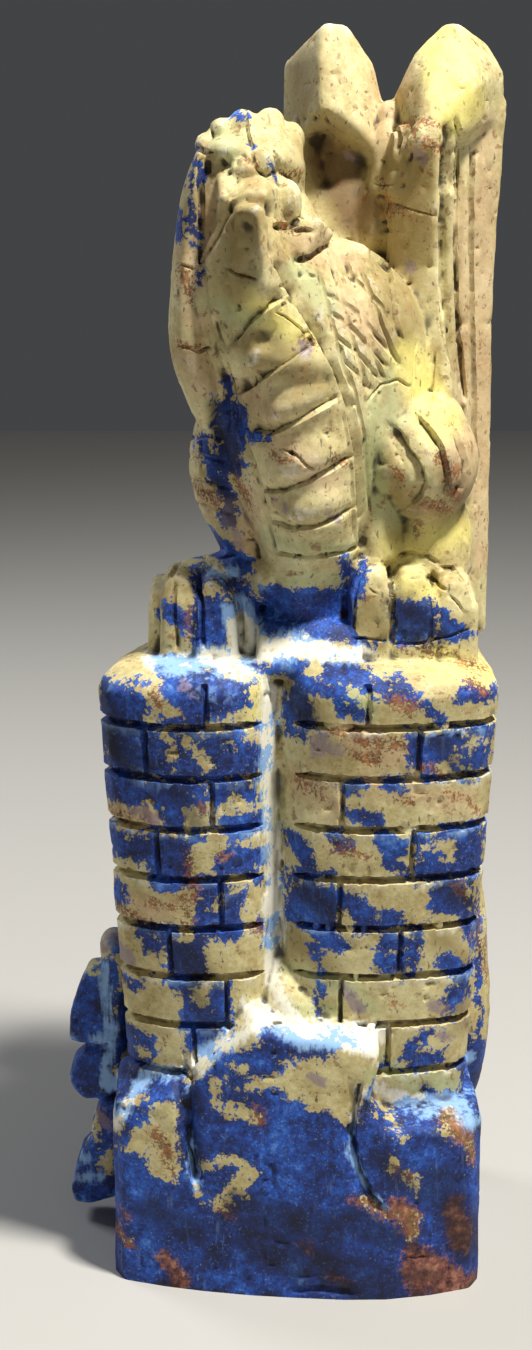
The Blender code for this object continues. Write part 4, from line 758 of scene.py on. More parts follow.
for k, (left, right) in enumerate(JOINTS):
    right_y, left_y, back_x = (5.0, -4.0, 12.0) if k % 2 else (-7.0, 7.0, -2.0)
    for across, middle, facing in ((flat_x, left, flat_y < -12), (flat_x, right, flat_y < -12),
                                   (flat_y, right_y, flat_x > 20), (flat_y, left_y, flat_x < -20),
                                   (flat_x, back_x, flat_y > 12)):
        dip = JOINT_SHARE * np.clip(1 - (np.abs(across - middle + wavy) / JOINT_HALF) ** 3, 0, 1)
        mortar = np.maximum(mortar, np.where(on_tower & (course_of == k) & facing, dip, 0))
skin.press(mortar * (MORTAR_DEPTH + 0.25 * grain(skin.points, 3.0, 10)))
skin.settle()

# Small damage: a fine roughness, pores, and rough breaks at the wrists of the right and the left wing.
x, y, z = skin.points.T
rough = 0.05 * grain(skin.points, 0.9, 11)
pores = np.clip((grain(skin.points, 1.3, 12) - 0.62) / 0.3, 0, 1) * 0.35
wrist = np.clip(1.3 - np.hypot((x - 18.6) / 3.6, (z - PERCH - 76.2) / 2.4), 0, 1) * (y < 6)
left_wrist = np.clip(1.3 - np.hypot((x - 2.8) / 2.0, (z - PERCH - 80.0) / 1.4), 0, 1) * (y < 10)
broken = np.maximum(wrist, left_wrist)
ragged = broken * (0.55 * grain(skin.points, 1.5, 13) + 0.35 * grain(skin.points, 0.7, 14))
lifted = np.clip(z / 2, 0, 1)
skin.press((rough + pores * (1 - crumbs) + ragged) * lifted)
skin.points[:, 2] = np.maximum(skin.points[:, 2], 0)
skin.settle()

# Faces are spared where the stone is plain, so that the sharp cuts keep theirs.
TRIANGLES = 192000
carving.data.calc_loop_triangles()
finish_with("thin", "DECIMATE", decimate_type="COLLAPSE",
            ratio=TRIANGLES / len(carving.data.loop_triangles))
skin = Skin(carving.data)
x, y, z = skin.points.T
normal_y = skin.normals[:, 1]

# Where the stone is azurite and where it is the tan rock round it. A patch is
# (stone, x, z, x, z) for a slab between two corners, and has a fifth number, its radius, where
# it is a streak from point to point. Each is laid over those before it.
BLUE, TAN = 1, -1
FAR = 3.0                   # mm inside or outside a stone or mark beyond which nothing changes
PATCHES = (
    # tower left
    (BLUE, -29.1, 90.5, -22.7, 97), (BLUE, -20, 91.1, -11, 98.8),
    (TAN, -22.9, 97, -21.6, 96.5, 1.2), (TAN, -21.6, 96.2, -18.7, 93.6, 1.2),
    (TAN, -13.4, 91.1, -9.5, 93.5), (TAN, -8.7, 90.6, -4.3, 97.3), (BLUE, -13.5, 94.1, -7.8, 98.2),
    (BLUE, -22, 98.3, -19.6, 98.2, 0.4), (BLUE, -29.4, 83, -4.3, 90.6),
    (TAN, -20.5, 90.1, -19.1, 88.2, 0.6), (TAN, -16.4, 88.3, -13.8, 85.5, 0.7),
    (TAN, -18.9, 87.3, -18.4, 84.2, 0.4), (TAN, -10.4, 88, -9.8, 87.6, 0.4),
    (TAN, -8, 90, -4.3, 87.8, 1), (TAN, -5.5, 88, -4.3, 85.6, 0.7),
    (BLUE, -29.3, 74.3, -13.8, 82.5), (TAN, -29.4, 73.7, -21, 78.2), (TAN, -17, 74.5, -12.9, 79.2),
    (TAN, -15.9, 80.8, -15.3, 80, 0.4), (BLUE, -12.5, 79.2, -5.5, 82.2),
    (TAN, -12.6, 77.1, -4.3, 79.1), (BLUE, -11.2, 74.3, -4.9, 76.8),
    (TAN, -5.5, 80.5, -4.6, 77.5, 0.6), (BLUE, -28.5, 69.3, -22, 73),
    (TAN, -27.6, 65.9, -22.3, 69.2), (BLUE, -21.9, 65.9, -16.3, 73.7),
    (TAN, -16.4, 67.9, -10.9, 73.8), (TAN, -10.9, 73.7, -8.5, 72.6, 0.7),
    (BLUE, -12.4, 65.9, -5.2, 71.1), (BLUE, -16.3, 65.5, -10, 67.7),
    (TAN, -10.3, 66.5, -7.9, 65.8, 0.8), (TAN, -6.4, 68.4, -5.2, 67.1, 0.6),
    (BLUE, -28, 61.1, -26, 64.8), (TAN, -26.3, 59.1, -18.5, 65.3), (BLUE, -24.8, 57.5, -18, 59.1),
    (BLUE, -16.1, 57.9, -8.4, 64), (TAN, -13.7, 63, -12.8, 62.5, 0.5), (TAN, -8.4, 57.3, -4, 64.8),
    (BLUE, -5.4, 58.9, -4.6, 58.5, 0.6), (TAN, -27.3, 49.1, -19.9, 56.9),
    (BLUE, -23.3, 54.2, -20.6, 57.1), (BLUE, -19.6, 49.6, -13.9, 57.2),
    (TAN, -13.7, 49.7, -2.7, 56.4), (BLUE, -4.3, 55, -3.3, 54, 0.5), (BLUE, -28.8, 47.6, -24, 49.5),
    (TAN, -28.6, 41.8, -17.8, 48), (BLUE, -17.5, 42.3, -11, 49.3), (TAN, -16.4, 46.1, -14.1, 48.6),
    (TAN, -10.6, 44.5, -5.2, 49.3), (BLUE, -29.4, 33.9, -22.3, 40.7),
    (TAN, -22.3, 36.4, -17.1, 41.4), (TAN, -24.2, 38.3, -23, 38, 0.6),
    (BLUE, -16.6, 39, -12.6, 42.1),
    # tower right
    (BLUE, -2.5, 90.7, 1.6, 95.4), (BLUE, 0.1, 97.2, 6, 96, 0.7), (BLUE, 4.3, 97.9, 10.2, 99.6),
    (BLUE, 6.8, 93.9, 9.2, 92.8, 0.6), (BLUE, 10.7, 98.6, 15.3, 96.9, 0.9),
    (BLUE, 10.6, 97, 13.2, 96.1, 0.6), (BLUE, 14.4, 96.7, 16.5, 95.3, 0.4),
    (BLUE, 23.9, 95.2, 28.3, 94.7, 0.9), (BLUE, 18.6, 93.5, 20.2, 92.6, 0.6),
    (BLUE, -1.9, 89.2, 0.2, 88.7, 0.5), (BLUE, 16.2, 84.3, 18, 90.4),
    (BLUE, 18.6, 83.1, 28.4, 89.4), (TAN, 20.3, 84.3, 27.5, 83.7, 0.6),
    (TAN, 24.5, 87.7, 27.6, 87.9, 0.6), (TAN, 22.7, 86.2, 25.5, 85.4, 0.6),
    (BLUE, 22, 89.8, 24.5, 88.3, 0.7), (BLUE, 7.9, 77.4, 11.8, 76.5, 0.9),
    (BLUE, 7.3, 81.8, 8.2, 81.5, 0.4), (BLUE, 22.2, 75, 28.3, 74, 0.6),
    (BLUE, 13.5, 82.2, 15.3, 81.2, 0.4), (BLUE, -0.8, 72.5, 2.1, 68.4, 1.2),
    (BLUE, 5, 72.9, 6.8, 72.7, 0.7), (BLUE, 12.4, 73.8, 15.5, 71.9, 1),
    (BLUE, 17.9, 66.5, 27.8, 74), (TAN, 19.4, 70.9, 22.8, 73.1), (TAN, 21.3, 69.7, 22.2, 69.3, 0.5),
    (BLUE, 13.4, 70, 16.7, 68.3, 0.9), (BLUE, -1.2, 67.1, 4.7, 68.1, 0.6),
    (BLUE, -1.5, 58.1, 6, 64.9), (BLUE, 7.5, 62.8, 9.6, 60.2, 1.4),
    (BLUE, 9.6, 61.2, 15.1, 60.2, 1.2), (BLUE, 15.4, 60.2, 17.9, 58.6, 0.6),
    (TAN, 12, 61.1, 12.5, 60.8, 0.4), (BLUE, 20.8, 61.2, 27.3, 65.5),
    (BLUE, 23.1, 61.9, 27, 58.6, 0.9), (TAN, 24.9, 65.2, 26.9, 63.6, 0.6),
    (BLUE, 4.4, 57.3, 6.8, 56.5, 0.9), (BLUE, 2.7, 56.1, 3.2, 52.2, 0.4),
    (BLUE, 12.4, 55.5, 16.1, 57.9), (BLUE, 13.4, 53.7, 15.9, 52.1, 0.8),
    (BLUE, 16.7, 50.8, 18.1, 57.7), (TAN, 18.9, 54.1, 27, 56.9), (BLUE, 23, 52.9, 27.1, 50.3, 1.2),
    (BLUE, 25.4, 48.7, 23.6, 44.6, 0.8), (BLUE, 25.7, 48.6, 26.9, 46.8, 0.6),
    (BLUE, 3.1, 49.2, 3.4, 44.5, 0.2), (BLUE, 20.5, 42.2, 16.2, 37.6, 0.4),
    (BLUE, 18, 36.4, 23.2, 38.6), (BLUE, 19.8, 42.5, 22.1, 41.9, 0.3),
    (BLUE, 13.4, 35.9, 15.6, 34.5, 0.6),
    # base
    (BLUE, -32.7, 15.4, 0.3, 33.7), (BLUE, -31.3, -2.8, 31.8, 29.6),
    (BLUE, -14.1, 33.1, -7.9, 38.5, 2.5), (BLUE, -7.9, 38.5, -1.9, 40.4, 2.6),
    (BLUE, -4.9, 42.5, 0.3, 40.8, 1.2), (BLUE, 0.3, 41.4, 8.1, 41.2, 1.1),
    (BLUE, -2, 39.1, 4.8, 38.1, 1.2), (BLUE, 8.6, 28.3, 13.4, 33.2),
    (BLUE, 0.3, 27.8, 7.2, 27.9, 2.8), (TAN, 11.5, 30.1, 31, 35.6),
    (BLUE, -28.1, 31.1, -18.8, 34.1, 1.1), (TAN, -30.7, 21.7, -19.8, 27.1),
    (TAN, -23.2, 21.9, -19.4, 31.1), (TAN, -23.2, 17.9, -19.2, 22.6),
    (TAN, -27.8, 29.1, -24.8, 29.6, 0.6), (BLUE, -30.5, 18.6, -25.4, 27.9, 0.7),
    (TAN, -12.6, 35.2, -11, 35.6, 0.6), (TAN, -12.9, 34.7, -12.9, 31.2, 0.6),
    (TAN, -12.6, 31.1, -8.9, 29.9, 0.8), (TAN, -8, 29.8, -5.7, 28.7, 0.6),
    (TAN, -9.9, 38, -8.6, 37.5, 0.6), (TAN, -14.3, 20.5, -10.1, 22.9, 0.9),
    (TAN, -9.8, 22.6, -7.4, 20.8, 1.1), (TAN, -7.4, 20.4, -9.2, 17.3, 1.1),
    (TAN, -9.5, 17.2, -11.7, 15.2, 0.8), (TAN, -16.4, 17.9, -11.7, 14.8, 0.5),
    (TAN, -2.2, 33.6, 7.2, 39.3), (TAN, 7.2, 40, 8.3, 31.3, 0.9), (TAN, 1.2, 33.4, 8, 30.4, 0.8),
    (TAN, 8.1, 37.8, 10.3, 38.7, 1.1), (TAN, 14.3, 28.9, 15.9, 27.5, 0.6),
    (TAN, 14.1, 23.3, 16.5, 21.3, 0.5), (TAN, 16.5, 21.1, 18.4, 19.7, 0.5),
    (TAN, 17.9, 19.9, 18.1, 17.9, 0.4), (TAN, 23.1, 27.4, 26.1, 25.7, 0.9),
    (TAN, 26.4, 24.7, 27.2, 20.9, 0.5), (TAN, 9.6, 16.8, 11.4, 14.7, 0.4),
    (TAN, 11.4, 14.7, 14.5, 13.8, 0.5), (TAN, 15.8, 14.5, 18, 13.7, 0.9),
    (TAN, 17.6, 12, 18.2, 10.8, 0.8), (TAN, -28.8, 7.2, -26.1, 6.7, 0.6),
    # perch
    (TAN, -29.9, 97.3, -20.8, 100.7), (BLUE, -20.8, 99.6, -13.2, 99.2, 0.7),
    (TAN, -12.3, 99.6, -8.2, 98.7, 0.9), (BLUE, -7.3, 99.5, 0.2, 99.2, 0.7),
    (TAN, 11, 98.5, 33.8, 102.4), (BLUE, 4.6, 98.9, 9.8, 98.6, 0.9),
    # feet and between
    (BLUE, -14.9, 111.8, -8.8, 111.1, 1.1), (BLUE, -15.1, 102.1, -11.5, 111.2),
    (BLUE, -11.5, 110.1, -10, 106.8, 0.9), (TAN, -13, 110.2, -10.9, 109, 0.9),
    (BLUE, -19.7, 107.1, -17.2, 105.1, 1.2), (BLUE, -5.5, 103.8, 8.7, 109.9),
    (BLUE, 6.8, 114.4, 8.6, 109.7, 0.9), (BLUE, 8.8, 108.6, 9.8, 113.3, 0.4),
    (BLUE, -8.8, 108.8, -5.5, 105, 0.8), (BLUE, 15, 102.4, 20.3, 108.5),
    (BLUE, 20.3, 106.7, 23.5, 104.7, 0.7), (BLUE, 8.7, 103.1, 13.4, 102.8, 0.2),
    (BLUE, 15.2, 102.2, 26.4, 104.2, 0.3),
    # flank, mane
    (BLUE, -10.7, 140.6, -9.7, 135.5, 0.5), (BLUE, -12.3, 127.2, -8.3, 138),
    (BLUE, -14.3, 131.4, -12.6, 129.2, 0.9), (BLUE, -12.2, 126.5, -9.7, 120.2, 1.2),
    (BLUE, -14.1, 117.3, -8.8, 113.6, 1.2), (TAN, -15.2, 125.9, -13.3, 123.1, 0.9),
    (TAN, -9.1, 124.5, -7, 118.7, 1), (BLUE, -6.9, 133.1, -4.9, 132.4, 0.5),
    (BLUE, -15, 173.5, -14.4, 171.1, 0.2), (BLUE, -14.4, 170.6, -14, 169, 0.25),
    (BLUE, -15.8, 170.2, -15.7, 168.5, 0.1), (BLUE, -15.7, 167.1, -15.4, 165, 0.0),
    (BLUE, -15.1, 164.6, -14.9, 160.9, 0.1), (BLUE, -17.2, 164.9, -16.1, 163.6, 0.2),
    (BLUE, -17.5, 162.5, -17, 161.4, 0.3), (BLUE, -14.7, 156.9, -14.3, 154.7, 0.4),
    (BLUE, -9.2, 178.6, -8.4, 178.2, 0.2), (BLUE, -3.9, 171.0, -3.8, 169.8, 0.0),
    (BLUE, -7.2, 174.5, -6.6, 174.2, -0.1),
    # right strip and fins
    (BLUE, 27.6, 57.1, 31.5, 44.5, 0.6), (BLUE, 25.6, 34.6, 31.7, 24.6, 0.9),
    (BLUE, 30.2, 37.7, 30.8, 26.4, 0.2), (BLUE, 30.7, 45.9, 30.9, 40, 0.4),
    (BLUE, -39, 20.6, -29.7, 45.4), (TAN, -34.2, 44.3, -33.5, 43.5, 0.8),
    (BLUE, -39.6, 2.4, -28.6, 15.9), (TAN, -32.1, 12, -31.8, 8.4, 0.8),
    (TAN, -35.4, 13.8, -33.7, 14.3, 0.5), (BLUE, 19.8, 31.5, 20.6, 29.9, 0.6),
)


def lay(patches, ground, seen):
    """Depth in mm inside the first kind of stone, laid patch by patch over a ground value."""
    field = ground.copy()
    for kind, x0, z0, x1, z1, *radius in patches:
        if radius:
            inside = radius[0] - gaps(seen, ((x0, z0), (x1, z1 + 1e-3)))[0]
        else:
            inside = np.minimum(abs(x1 - x0) / 2 - np.abs(seen[:, 0] - (x0 + x1) / 2),
                                abs(z1 - z0) / 2 - np.abs(seen[:, 1] - (z0 + z1) / 2))
        inside = np.clip(inside, -FAR, FAR)
        field = np.maximum(field, inside + 0.5) if kind == BLUE else np.minimum(field, -inside)
    return field


seen = from_front(skin.points)
seen[:, 0] += 0.9 * grain(skin.points, 4.2, 21) + 0.45 * grain(skin.points, 1.7, 22)
seen[:, 1] += 0.9 * grain(skin.points, 4.2, 23) + 0.45 * grain(skin.points, 1.7, 24)
front_stone = lay(PATCHES, np.full(len(seen), -FAR), seen)

# Sides and back: the same two stones run on in cloudy bands, more blue to the left and low down.
cloud = 1.3 * grain(skin.points, 17.0, 31) + 1.0 * grain(skin.points, 8.0, 32)
cloud += 0.5 * grain(skin.points, 3.5, 33)
low_down = np.clip((38 - z) / 12, 0, 1)
back_stone = 2.6 * cloud - 0.5 + 2.4 * low_down - 0.012 * x - 0.9 * (z > 108)
turned = np.clip((normal_y + 0.15) / 0.5, 0, 1) * np.clip((y + 16) / 10, 0, 1)
azurite = front_stone * (1 - turned) + back_stone * turned

# Marks on the two stones, each a streak (x, z, x, z, radius): rust, mauve and pale green
# minerals, the pale powder that the files left on fresh cuts along with painted highlights on
# lit ledges and edges, painted shade where the stone lies in shadow, and places where the rock
# is pinker, yellower with a painted highlight where the light falls full, more olive and browner
# partly as painted shade.
MARKS = {
    "rust": ((-6.1, 30.8, -5.2, 28.8, 1.1), (8.3, 16.9, 11.9, 15.1, 0.8), (11.9, 14.7, 15.5, 13.8, 0.8),
        (15.5, 15.9, 17.7, 14.2, 1.4), (16.4, 13.7, 17.7, 11.2, 1.4), (22.5, 28.1, 25.7, 26.5, 1.2),
        (26.1, 24.7, 26.9, 20.5, 0.6), (14.4, 22.6, 18.2, 19.9, 0.5), (1.1, 9.1, 1.6, 7.4, 0.8),
        (19.1, 5.5, 26, 0.1, 3.1), (24.1, 14.2, 26.2, 8.4, 2), (18.1, 8.6, 19.2, 0.4, 1.4),
        (-20.3, 5, -18.8, 0.4, 1.4), (-28.5, 7.5, -26.4, 6.6, 1), (-27.7, 11.9, -26.3, 11.1, 0.6),
        (-21.7, 25.2, -20.1, 20.4, 0.8), (-11.3, 14.4, -10.2, 13.5, 0.6), (5, 3.8, 7.8, 3.2, 0.6),
        (-17, 71.8, -16.4, 63.8, 0.6), (-17.6, 63.7, -17.1, 58.6, 0.6), (-21.6, 96.2, -20.1, 94.6, 0.6),
        (-27.7, 60.5, -22.6, 59.6, 0.6), (-22.5, 63.3, -19.1, 61.7, 0.6), (-14, 79.2, -12.9, 77.9, 0.4),
        (-6.4, 58.9, -4.9, 57.3, 0.6), (-29.3, 76.5, -23, 75.9, 0.6), (-12.4, 71.5, -10.9, 70.5, 0.4),
        (0.5, 81.9, 4.6, 81.4, 0.7), (2.9, 80.2, 3.5, 78.8, 0.6), (7.2, 89.4, 10.1, 88.9, 0.9),
        (11.6, 89.5, 15.1, 88.3, 1), (7.8, 86.6, 12.2, 85.8, 0.7), (13.5, 95.4, 16.2, 94.1, 0.7),
        (4, 90.1, 6.6, 89.4, 0.4), (17.6, 84.8, 21.9, 83.6, 0.4), (15, 79.8, 17.4, 79.3, 0.4),
        (21.6, 81.7, 24.1, 79.2, 0.3), (25.7, 79, 27.4, 76.8, 0.5), (4.7, 72.2, 6.9, 71.4, 0.5),
        (8, 71.5, 11, 71, 0.4), (24.3, 64.9, 25.6, 63.1, 0.8), (28, 57.2, 31.1, 46.1, 0.6),
        (14.6, 46.9, 15.7, 45.9, 0.3), (23.4, 99.2, 28.1, 97.9, 0.4), (25.2, 96.7, 27.7, 95.4, 0.6),
        (17.1, 178.7, 21.4, 177.8, 0.4), (17.6, 175.7, 21.6, 174.3, 0.6), (16, 178.1, 17, 176.5, 0.5),
        (-2.3, 170.7, 0.5, 170, 0.4), (12.5, 170.7, 13.4, 168.8, 0.4), (13.4, 167.6, 14.5, 166.3, 0.5),
        (-2.9, 163.1, 0.3, 162.4, 0.4), (13.2, 166.2, 15.4, 165, 0.6), (21.1, 130, 23.9, 127.8, 0.7),
        (22.4, 126.7, 23.9, 123.1, 0.6), (19.5, 122.4, 23.2, 121, 0.6), (20.3, 123.7, 21.8, 122, 0.4),
        (14.2, 127.9, 15.2, 126.7, 0.4), (5.2, 130.7, 7.3, 129.3, 0.4), (0.2, 147.5, 1.9, 146.5, 0.4),
        (-4.3, 130.7, -1.5, 130.2, 0.4), (-17.5, 157.2, -14.9, 152.7, 0.6),
        (-17.3, 146.8, -13.9, 145, 0.4), (-15.5, 124.8, -12.4, 123.2, 0.9),
        (-9.3, 126.4, -7.3, 123.6, 0.7), (-16.3, 108.4, -16.2, 102.4, 0.4),
        (18.1, 101.3, 22.4, 100.3, 0.4), (15.2, 101.1, 16.3, 100.5, 0.4), (32.2, 46.9, 32.7, 39.9, 0.5)),
    "mauve": ((2.8, 88.5, 5.5, 86.8, 1.2), (2.5, 89.1, 3.4, 86.4, 1), (5.9, 72.8, 7.2, 72.9, 0.5),
        (7.3, 49.2, 9.5, 45.6, 1.2), (21, 46.1, 23.4, 44.7, 1.1), (22.4, 41.3, 24.4, 40.7, 0.8),
        (2.2, 37.3, 4.1, 36.4, 1.1), (-25.3, 77.2, -22, 76, 0.9), (-17.2, 97.9, -15.7, 96.7, 0.7),
        (-31.7, 48.6, -27.2, 53.2, 1.8), (-32.7, 19, -31.3, 16.7, 1), (16.1, 158, 17.3, 156.8, 0.6),
        (7.4, 174.6, 9.3, 173.6, 0.6), (16.7, 174.2, 18.5, 172.8, 0.6), (-0.1, 146.6, 1.1, 145.6, 0.6),
        (-10.9, 122.5, -8.8, 117.1, 0.9), (-3.4, 124.2, -2.6, 123, 0.6), (3.8, 122.6, 5.6, 121.4, 0.4)),
    "green": ((6, 96.3, 9.7, 94.1, 1.5), (-0.9, 45.7, 5, 45, 1.2), (-1.2, 51.6, 5.8, 49.7, 1.2),
        (8.3, 49.8, 11.4, 45.3, 0.9), (-27.9, 2.9, -22.6, 0.4, 1.9), (-17.4, 6.5, -15.2, 5.4, 1.1),
        (-14.9, 4.4, -12.7, 2.6, 0.9), (10.6, 137.8, 12.2, 120.1, 1.2), (13.2, 122.9, 15.4, 119.7, 0.9),
        (-0.9, 157.2, 4.2, 152.1, 1.3), (12.7, 142.2, 13.7, 134.7, 1), (-11.2, 176.5, -9.4, 173.2, 1.1),
        (12.1, 36.5, 25.8, 30.5, 1.4), (17.5, 31.6, 26.1, 29, 0.9), (-34.9, 45.2, -30.8, 44.1, 1),
        (-37.1, 13.5, -33.4, 13.2, 0.8), (-4.3, 117.7, 7.6, 116.2, 0.9), (16.5, 180.3, 17.6, 176.4, 0.8),
        (-13.7, 152.7, -7.1, 150.4, 0.9), (-1.3, 112.6, 6.2, 111.2, 1.2), (-5.5, 82.1, -2.8, 73, 0.9),
        (-13.6, 112.5, -8.8, 113.2, 0.5)),
    "powder": ((-4.6, 95.7, -4, 62, 1.2), (-4, 62, -3.2, 49.1, 1.2), (-2.6, 47.3, 0.4, 42.8, 0.9),
        (-8, 46, 0.3, 42.9, 1.1), (0.3, 42.9, 12.1, 41.3, 1.4), (9.7, 34.4, 11.2, 33.4, 0.6),
        (11.2, 33.4, 14, 31.4, 0.8), (14, 31.1, 28.8, 27.6, 0.8), (-14.1, 100.8, 9.5, 101.4, 1.1),
        (-22.4, 99.7, -11, 99.7, 0.8), (-8.8, 107.6, -7, 102.1, 0.9), (-7, 103.6, 6.4, 101.3, 0.9),
        (-10.6, 107.1, -9.4, 102.4, 0.7), (9.8, 35, 8.6, 30.9, 0.2), (8.4, 30.9, 8.3, 24.7, 0.2),
        (8.3, 24.7, 10.2, 19.6, 0.3), (10.2, 19.6, 13.3, 15.2, 0.3), (-17.1, 25.2, -16.7, 21.1, 0.5),
        (-16.7, 21.1, -15.6, 18, 0.5), (-30.2, 24.2, -22.8, 34.2, 1), (-22.8, 34.4, -17.9, 35.6, 0.8),
        (-17.9, 35.9, -11, 41.4, 0.9), (-11, 41.4, -6.4, 44.6, 0.8), (-31.5, 44.6, -30.9, 24.5, 0.7),
        (-13.6, 112.5, -9.5, 112.9, 0.6), (-14.4, 99.5, -7.3, 98.7, 0.6),
        (-33.4, 32.3, -31.7, 31.7, 0.7), (-36.8, 11.8, -34.8, 10.4, 0.8), (-36.5, 6.8, -32.8, 7.3, 0.7)),
    "dark": ((-16, 173, -15, 160, 0.5), (-14.6, 160, -14.2, 153, 0.3), (-5.8, 8.4, 22, 3, 0.5),
        (15.4, 107.8, 19.7, 102.9, 2.2), (-28.5, 88.3, -24.3, 84.3, 1.9),
        (-18.5, 82, -14.7, 76.1, 1.5), (-28.6, 95.3, -27.8, 91.7, 1.2), (-1.9, 96.9, 1, 92.9, 1.8),
        (0.3, 65.4, 4.8, 60.9, 1.7), (-17.1, 55.5, -14.7, 51.1, 1.8), (-16.5, 48.9, -13.2, 42.3, 1.2),
        (-5.8, 8.4, 12.8, 2.5, 3.1), (21.4, 19.4, 27.3, 7.1, 2.5), (-8.9, 14.9, 5, 11.3, 2.2),
        (8.4, 13.1, 14.6, 9.9, 1.9), (-18.2, 32.1, -15.8, 21.5, 0.8), (18.5, 89.9, 25.6, 83.8, 1.2),
        (20.8, 65.7, 26.3, 62.6, 1.2), (-12.8, 136.9, -9.3, 127.9, 0.9),
        (-12.4, 126.2, -9.4, 120.2, 0.9), (-23.1, 12.4, -15.2, 10.2, 1.6),
        (-28.9, 39.2, -26.2, 40.3, 0.3), (12.6, 23.4, 18.9, 17.8, 1.2)),
    "pink": ((29.1, 177.9, 30.3, 110.6, 1.9), (25.9, 165.8, 26.1, 125.9, 1.2),
        (13.3, 180.5, 14, 174.9, 1.5), (16.3, 186.4, 16.9, 178.8, 0.9), (12, 185.7, 12.7, 176.4, 0.8),
        (0.8, 160.6, 7.4, 158, 1.3), (5.7, 152.7, 11.7, 148.3, 2),
        (-16.3, 159, -14.1, 149.9, 1.4), (-16.7, 144.8, -13.6, 140.8, 1.7),
        (-12.8, 168, -12.6, 161.1, 1.1), (-7.3, 124.4, -7.9, 114, 1.2),
        (-14.5, 124.5, -12.7, 122.4, 1.2), (24.3, 130.6, 24.7, 124.6, 1.2),
        (-2.9, 131.6, 4.4, 127.2, 1.7), (-26.6, 63.4, -20.2, 61.1, 1.2), (24.4, 99.1, 27.7, 96, 1.3),
        (7.8, 89.1, 14.9, 86.7, 1.8), (0.2, 81.8, 4.9, 78.6, 1.3), (10.5, 82.1, 25.7, 79, 0.9),
        (-27.2, 76.4, -22.4, 75.1, 0.9), (-7.2, 140, -4.3, 137.4, 1.4)),
    "yellow": ((22.6, 190.1, 23.9, 180.6, 3.3), (16, 144.5, 20.8, 135.1, 2.4), (14.8, 116, 25, 118, 2.1),
        (16, 110.8, 19.6, 109.7, 0.9), (20.4, 100.6, 31.7, 95.3, 1.1), (19.9, 190.8, 26.1, 191.5, 1.2),
        (-7.7, 152.9, -0.1, 147.3, 1.4), (-8.7, 96.6, -5.5, 91.3, 0.9)),
    "olive": ((4.2, 174, 8.6, 166, 3.6), (15.6, 170.5, 15.1, 150, 3.3), (-7.9, 164.3, -9.6, 154.3, 1.9),
        (0.7, 188.4, 0.3, 180.4, 1.9), (3.6, 178.5, 9, 175.4, 1.4), (11, 130.9, 15.1, 123.3, 1.5),
        (-4.6, 145.6, 1.4, 141.7, 2.3), (16.5, 123.4, 15.4, 117.9, 1.8), (-20, 108, -17.5, 102.3, 0.9),
        (10.3, 108.7, 12.8, 103.8, 1.2), (0.3, 56.2, 4.9, 52, 1.5), (21.7, 56.8, 25.8, 52.7, 1.2)),
    "umber": ((4.4, 173.2, 9.2, 166, 3.2), (8.4, 164.4, 10.6, 163.2, 1.0), (22.4, 128, 24.6, 121.6, 1.3),
        (18.6, 122.2, 23.4, 120.4, 0.9), (25.6, 45.6, 27.2, 41.8, 0.8)),
}


def marked(name, seed, share):
    """Depth in mm inside the marks of one kind; on the sides and back they are strewn about."""
    reach = np.full(len(seen), -FAR)
    for x0, z0, x1, z1, radius in MARKS[name]:
        reach = np.maximum(reach, radius - gaps(seen, ((x0, z0), (x1, z1 + 1e-3)))[0])
    strewn = 4.0 * (grain(skin.points, 6.0, seed) + 0.5 * grain(skin.points, 2.4, seed + 1)) - share
    return reach * (1 - turned) + np.clip(strewn, -FAR, FAR) * turned


# How deep each place lies in its surroundings, from the mesh itself: the hollows are darkened
# with painted shade and some dirt, and the edges are rubbed pale, partly a painted highlight.
neighbours = neighbours_of(carving.data)
middle = np.column_stack([neighbours(axis) for axis in skin.points.T])
hollow = np.einsum("ij,ij->i", middle - skin.points, skin.normals)
FULL_HOLLOW = 0.12          # mm that count as a full hollow, or as a sharp edge the other way
hollow = np.clip(hollow / FULL_HOLLOW, -1, 1)
for _ in range(2):
    hollow = 0.5 * hollow + 0.5 * neighbours(hollow)


def store(name, values):
    layer = carving.data.attributes.new(name, "FLOAT", "POINT")
    layer.data.foreach_set("value", np.ascontiguousarray(values, dtype=np.float32))


store("azurite", np.clip(azurite, -FAR, FAR))
store("hollow", hollow)

# The edge just below each mortar line catches the light, here and there, and is given a painted highlight.
on_wall, _, from_channel, above, _ = on_courses(skin.points)
lip = np.clip(1 - np.abs(above + 0.95) / 0.34, 0, 1) * on_wall * (from_channel > 3) * (normal_y < -0.1)
lip *= 0.4 + 0.9 * grain(skin.points, 2.2, 57)
store("lip", np.clip(1.3 * lip, 0, 1))
for name, seed, share in (("rust", 41, 3.4), ("mauve", 43, 4.4), ("green", 45, 3.6), ("powder", 47, 5.0),
                          ("dark", 49, 2.4), ("pink", 51, 1.6), ("yellow", 53, 3.0), ("olive", 55, 1.6),
                          ("umber", 59, 3.2)):
    store(name, marked(name, seed, share))

# From here on the piece is in metres, its creases sharp and its swells smooth.
skin.points *= 0.001
skin.settle()
bpy.ops.object.shade_smooth_by_angle(angle=math.radians(38))


